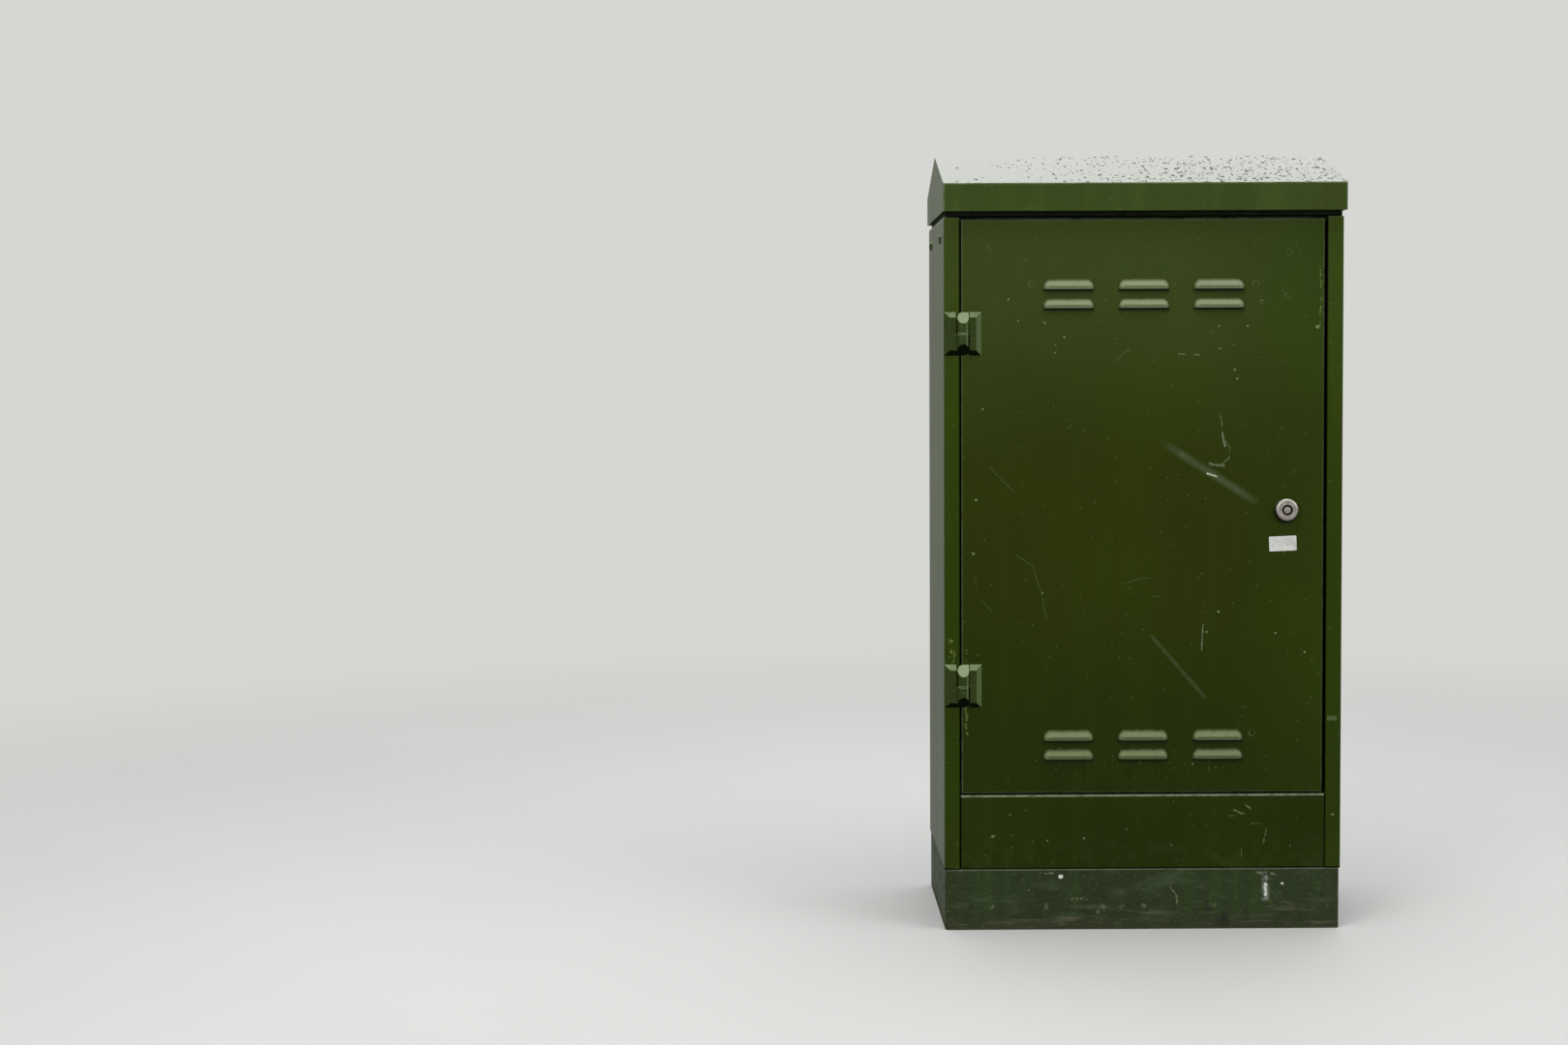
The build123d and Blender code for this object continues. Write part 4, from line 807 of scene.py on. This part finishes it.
# Materials on the CAD nodes
EVEN_GRAIN = (1, 1, 1)
GRAIN_ALONG_X = (0.15, 1, 1)
GRAIN_ALONG_Z = (1, 1, 0.1)
door_paint = make_door_paint()
body_paint = make_body_paint()
roof_paint = make_roof_paint()
plinth_paint = make_plinth_paint()
hinge_paint = make_hinge_paint()
galvanised = make_metal(
    "galvanised_steel", linear(158, 162, 164), linear(132, 137, 141), 0.42, EVEN_GRAIN, 0.00003,
    spangle=0.7,
)
zinc = make_metal("zinc_plate", linear(176, 177, 172), linear(156, 154, 146), 0.34, EVEN_GRAIN, 0.00003)
stainless = make_metal(
    "stainless", linear(186, 186, 184), linear(150, 150, 148), 0.25, GRAIN_ALONG_Z, 0.00005
)
brass = make_metal("brass", linear(190, 156, 86), linear(140, 110, 58), 0.35, GRAIN_ALONG_X, 0.00006)
lock_face = make_lock_face()
rubber = make_rubber("seal_rubber", linear(22, 23, 24), linear(58, 58, 54))
nylon = make_plastic("guide_nylon", linear(30, 30, 32), linear(44, 44, 45))
terminal = make_plastic("terminal_plastic", linear(152, 156, 156), linear(134, 138, 138))
resin = make_plastic("insulator_resin", linear(124, 44, 30), linear(100, 34, 24), rough=0.35)

dress(door_paint, "door_panel", "door_stiffener", "vent_baffle_upper", "vent_baffle_lower")
dress(
    body_paint, "left_side", "right_side", "back_panel", "header_rail", "threshold_rail", "kick_panel",
    "roof_bearer_left", "roof_bearer_right",
)
dress(roof_paint, "roof")
dress(plinth_paint, "plinth")
dress(
    hinge_paint, "hinge_leaf_frame_upper", "hinge_leaf_frame_lower", "hinge_leaf_door_upper",
    "hinge_leaf_door_lower", "hinge_washer_upper", "hinge_washer_lower", "roof_bolts",
)
dress(stainless, "hinge_pin_upper", "hinge_pin_lower")
dress(brass, "earth_bar")
dress(
    zinc, "roof_nuts", "plinth_bolts", "plinth_nuts", "hinge_frame_nuts", "hinge_door_nuts",
    "lock_nut", "cam_screw", "plate_screws", "lock_cam", "upper_rod", "lower_rod", "plate_standoffs",
    "din_rail_upper", "din_rail_lower",
)
dress(galvanised, "equipment_plate", "gland_plate")
dress(lock_face, "lock_body", "lock_core")
dress(rubber, "door_seal", "cable_grommets")
dress(nylon, "rod_guide_1", "rod_guide_2", "rod_guide_3", "rod_guide_4")
dress(terminal, "terminal_blocks")
dress(resin, "earth_bar_insulators")


def add_mesh(name, vertices, faces, material, smooth):
    mesh = bpy.data.meshes.new(name)
    mesh.from_pydata(vertices, [], faces)
    mesh.update()
    mesh.materials.append(material)
    for polygon in mesh.polygons:
        polygon.use_smooth = smooth
    obj = bpy.data.objects.new(name, mesh)
    bpy.context.scene.collection.objects.link(obj)
    return obj


def rounded_rectangle(width, height, radius, steps):
    """The outline of a rectangle with rounded corners, as points around its centre."""
    points = []
    for corner, (sx, sz) in enumerate(((1, 1), (-1, 1), (-1, -1), (1, -1))):
        for i in range(steps + 1):
            angle = math.pi / 2 * (corner + i / steps)
            points.append((
                sx * (width / 2 - radius) + radius * math.cos(angle),
                sz * (height / 2 - radius) + radius * math.sin(angle),
            ))
    return points


# The bare label on the door, in millimetres. Its rings are the outline's scale and how far it
# stands proud of the door.
LABEL_WIDTH = 37.8
LABEL_HEIGHT = 20.5
LABEL_CORNER = 1.1
LABEL_CORNER_STEPS = 5
LABEL_X = 192.7
LABEL_Z = 536.4
LABEL_TILT = math.radians(2.4)
LABEL_RINGS = ((1.0, 0.03), (1.0, 0.22), (0.985, 0.28), (0.6, 0.28), (0.25, 0.28))


def make_sticker():
    """A bare pale label: a thin film with softly rounded corners, laid on the door."""
    outline = rounded_rectangle(LABEL_WIDTH, LABEL_HEIGHT, LABEL_CORNER, LABEL_CORNER_STEPS)
    count = len(outline)
    cos, sin = math.cos(LABEL_TILT), math.sin(LABEL_TILT)
    vertices, faces = [], []
    for scale, proud in LABEL_RINGS:
        for u, v in outline:
            x = LABEL_X + scale * (u * cos - v * sin)
            z = LABEL_Z + scale * (u * sin + v * cos)
            vertices.append((x * MM, FRONT - proud * MM, z * MM))
    for ring in range(len(LABEL_RINGS) - 1):
        for i in range(count):
            j = (i + 1) % count
            a, b = ring * count, (ring + 1) * count
            faces.append((a + i, a + j, b + j, b + i))
    last = (len(LABEL_RINGS) - 1) * count
    faces.append(tuple(last + i for i in range(count)))
    obj = add_mesh("door_label", vertices, faces, make_label(), smooth=False)
    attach(obj, "door")


make_sticker()


# Studio floor, world, lamps and camera
FLOOR_HALF = 6.0
FLOOR_STEPS = 24
BACKDROP = linear(214, 214, 211)
SKY = (0.95, 0.98, 1.0, 1.0)
SKY_STRENGTH = 0.50


def make_stage():
    vertices, faces = [], []
    for i in range(FLOOR_STEPS + 1):
        for j in range(FLOOR_STEPS + 1):
            x = FLOOR_HALF * (i / FLOOR_STEPS - 0.5) * 2
            y = FLOOR_HALF * (j / FLOOR_STEPS - 0.5) * 2
            vertices.append((x, y, 0.0))
    for i in range(FLOOR_STEPS):
        for j in range(FLOOR_STEPS):
            a = i * (FLOOR_STEPS + 1) + j
            faces.append((a, a + FLOOR_STEPS + 1, a + FLOOR_STEPS + 2, a + 1))
    floor = add_mesh("studio_floor", vertices, faces, make_floor(), smooth=True)


def make_world():
    """A soft sky as light, and the plain backdrop for camera, glossy and transmission rays."""
    world = bpy.data.worlds.new("studio")
    bpy.context.scene.world = world
    world.use_nodes = True
    tree = world.node_tree
    tree.nodes.clear()
    output = tree.nodes.new("ShaderNodeOutputWorld")
    mix = tree.nodes.new("ShaderNodeMixShader")
    seen = tree.nodes.new("ShaderNodeBackground")
    seen.inputs["Color"].default_value = BACKDROP
    seen.inputs["Strength"].default_value = 1.0
    light = tree.nodes.new("ShaderNodeBackground")
    light.inputs["Color"].default_value = SKY
    light.inputs["Strength"].default_value = SKY_STRENGTH
    path = tree.nodes.new("ShaderNodeLightPath")
    either = tree.nodes.new("ShaderNodeMath")
    either.operation = "MAXIMUM"
    also = tree.nodes.new("ShaderNodeMath")
    also.operation = "MAXIMUM"
    tree.links.new(path.outputs["Is Camera Ray"], either.inputs[0])
    tree.links.new(path.outputs["Is Glossy Ray"], either.inputs[1])
    tree.links.new(either.outputs[0], also.inputs[0])
    tree.links.new(path.outputs["Is Transmission Ray"], also.inputs[1])
    tree.links.new(also.outputs[0], mix.inputs[0])
    tree.links.new(light.outputs[0], mix.inputs[1])
    tree.links.new(seen.outputs[0], mix.inputs[2])
    tree.links.new(mix.outputs[0], output.inputs["Surface"])


def add_lamp(name, place, target, width, height, power):
    lamp = bpy.data.lights.new(name, "AREA")
    lamp.shape = "RECTANGLE"
    lamp.size = width
    lamp.size_y = height
    lamp.energy = power
    obj = bpy.data.objects.new(name, lamp)
    bpy.context.scene.collection.objects.link(obj)
    obj.location = place
    obj.rotation_euler = (Vector(target) - Vector(place)).to_track_quat("-Z", "Y").to_euler()
    obj.visible_camera = False


# The camera as fitted to the photograph: lengths in metres, angles in degrees
CAMERA_PLACE = (-0.5130, -3.4341, 0.7758)
CAMERA_YAW = -0.312
CAMERA_PITCH = 2.677
CAMERA_ROLL = -0.267
CAMERA_LENS = 54.842
CAMERA_SENSOR = 36.0
CAMERA_SHIFT_Y = -0.0247


def make_camera():
    data = bpy.data.cameras.new("camera")
    data.sensor_width = CAMERA_SENSOR
    data.sensor_fit = "HORIZONTAL"
    data.lens = CAMERA_LENS
    data.shift_y = CAMERA_SHIFT_Y
    data.clip_start = 0.05
    data.clip_end = 100.0
    obj = bpy.data.objects.new("camera", data)
    bpy.context.scene.collection.objects.link(obj)
    yaw, pitch, roll = (math.radians(angle) for angle in (CAMERA_YAW, CAMERA_PITCH, CAMERA_ROLL))
    forward = Vector((
        -math.sin(yaw) * math.cos(pitch), math.cos(yaw) * math.cos(pitch), -math.sin(pitch)
    ))
    level = Vector((math.cos(yaw), math.sin(yaw), 0))
    up = level.cross(forward)
    right = level * math.cos(roll) + up * math.sin(roll)
    top = up * math.cos(roll) - level * math.sin(roll)
    matrix = Matrix((right, top, -forward)).transposed().to_4x4()
    matrix.translation = Vector(CAMERA_PLACE)
    obj.matrix_world = matrix
    bpy.context.scene.camera = obj


make_stage()
make_world()
add_lamp("overhead", (0.1, -0.35, 3.1), (0.0, -0.1, 0.5), 2.6, 2.2, 58.0)
add_lamp("rear_panel", (0.0, 2.6, 2.3), (0.0, 0.0, 0.9), 4.2, 1.6, 31.0)
add_lamp("front_left", (-2.3, -3.2, 2.2), (0.0, -0.1, 0.5), 1.8, 1.8, 60.0)
add_lamp("front_right", (2.6, -2.6, 1.6), (0.0, -0.1, 0.5), 1.6, 1.6, 26.0)
make_camera()

bpy.context.scene.view_settings.view_transform = "Standard"
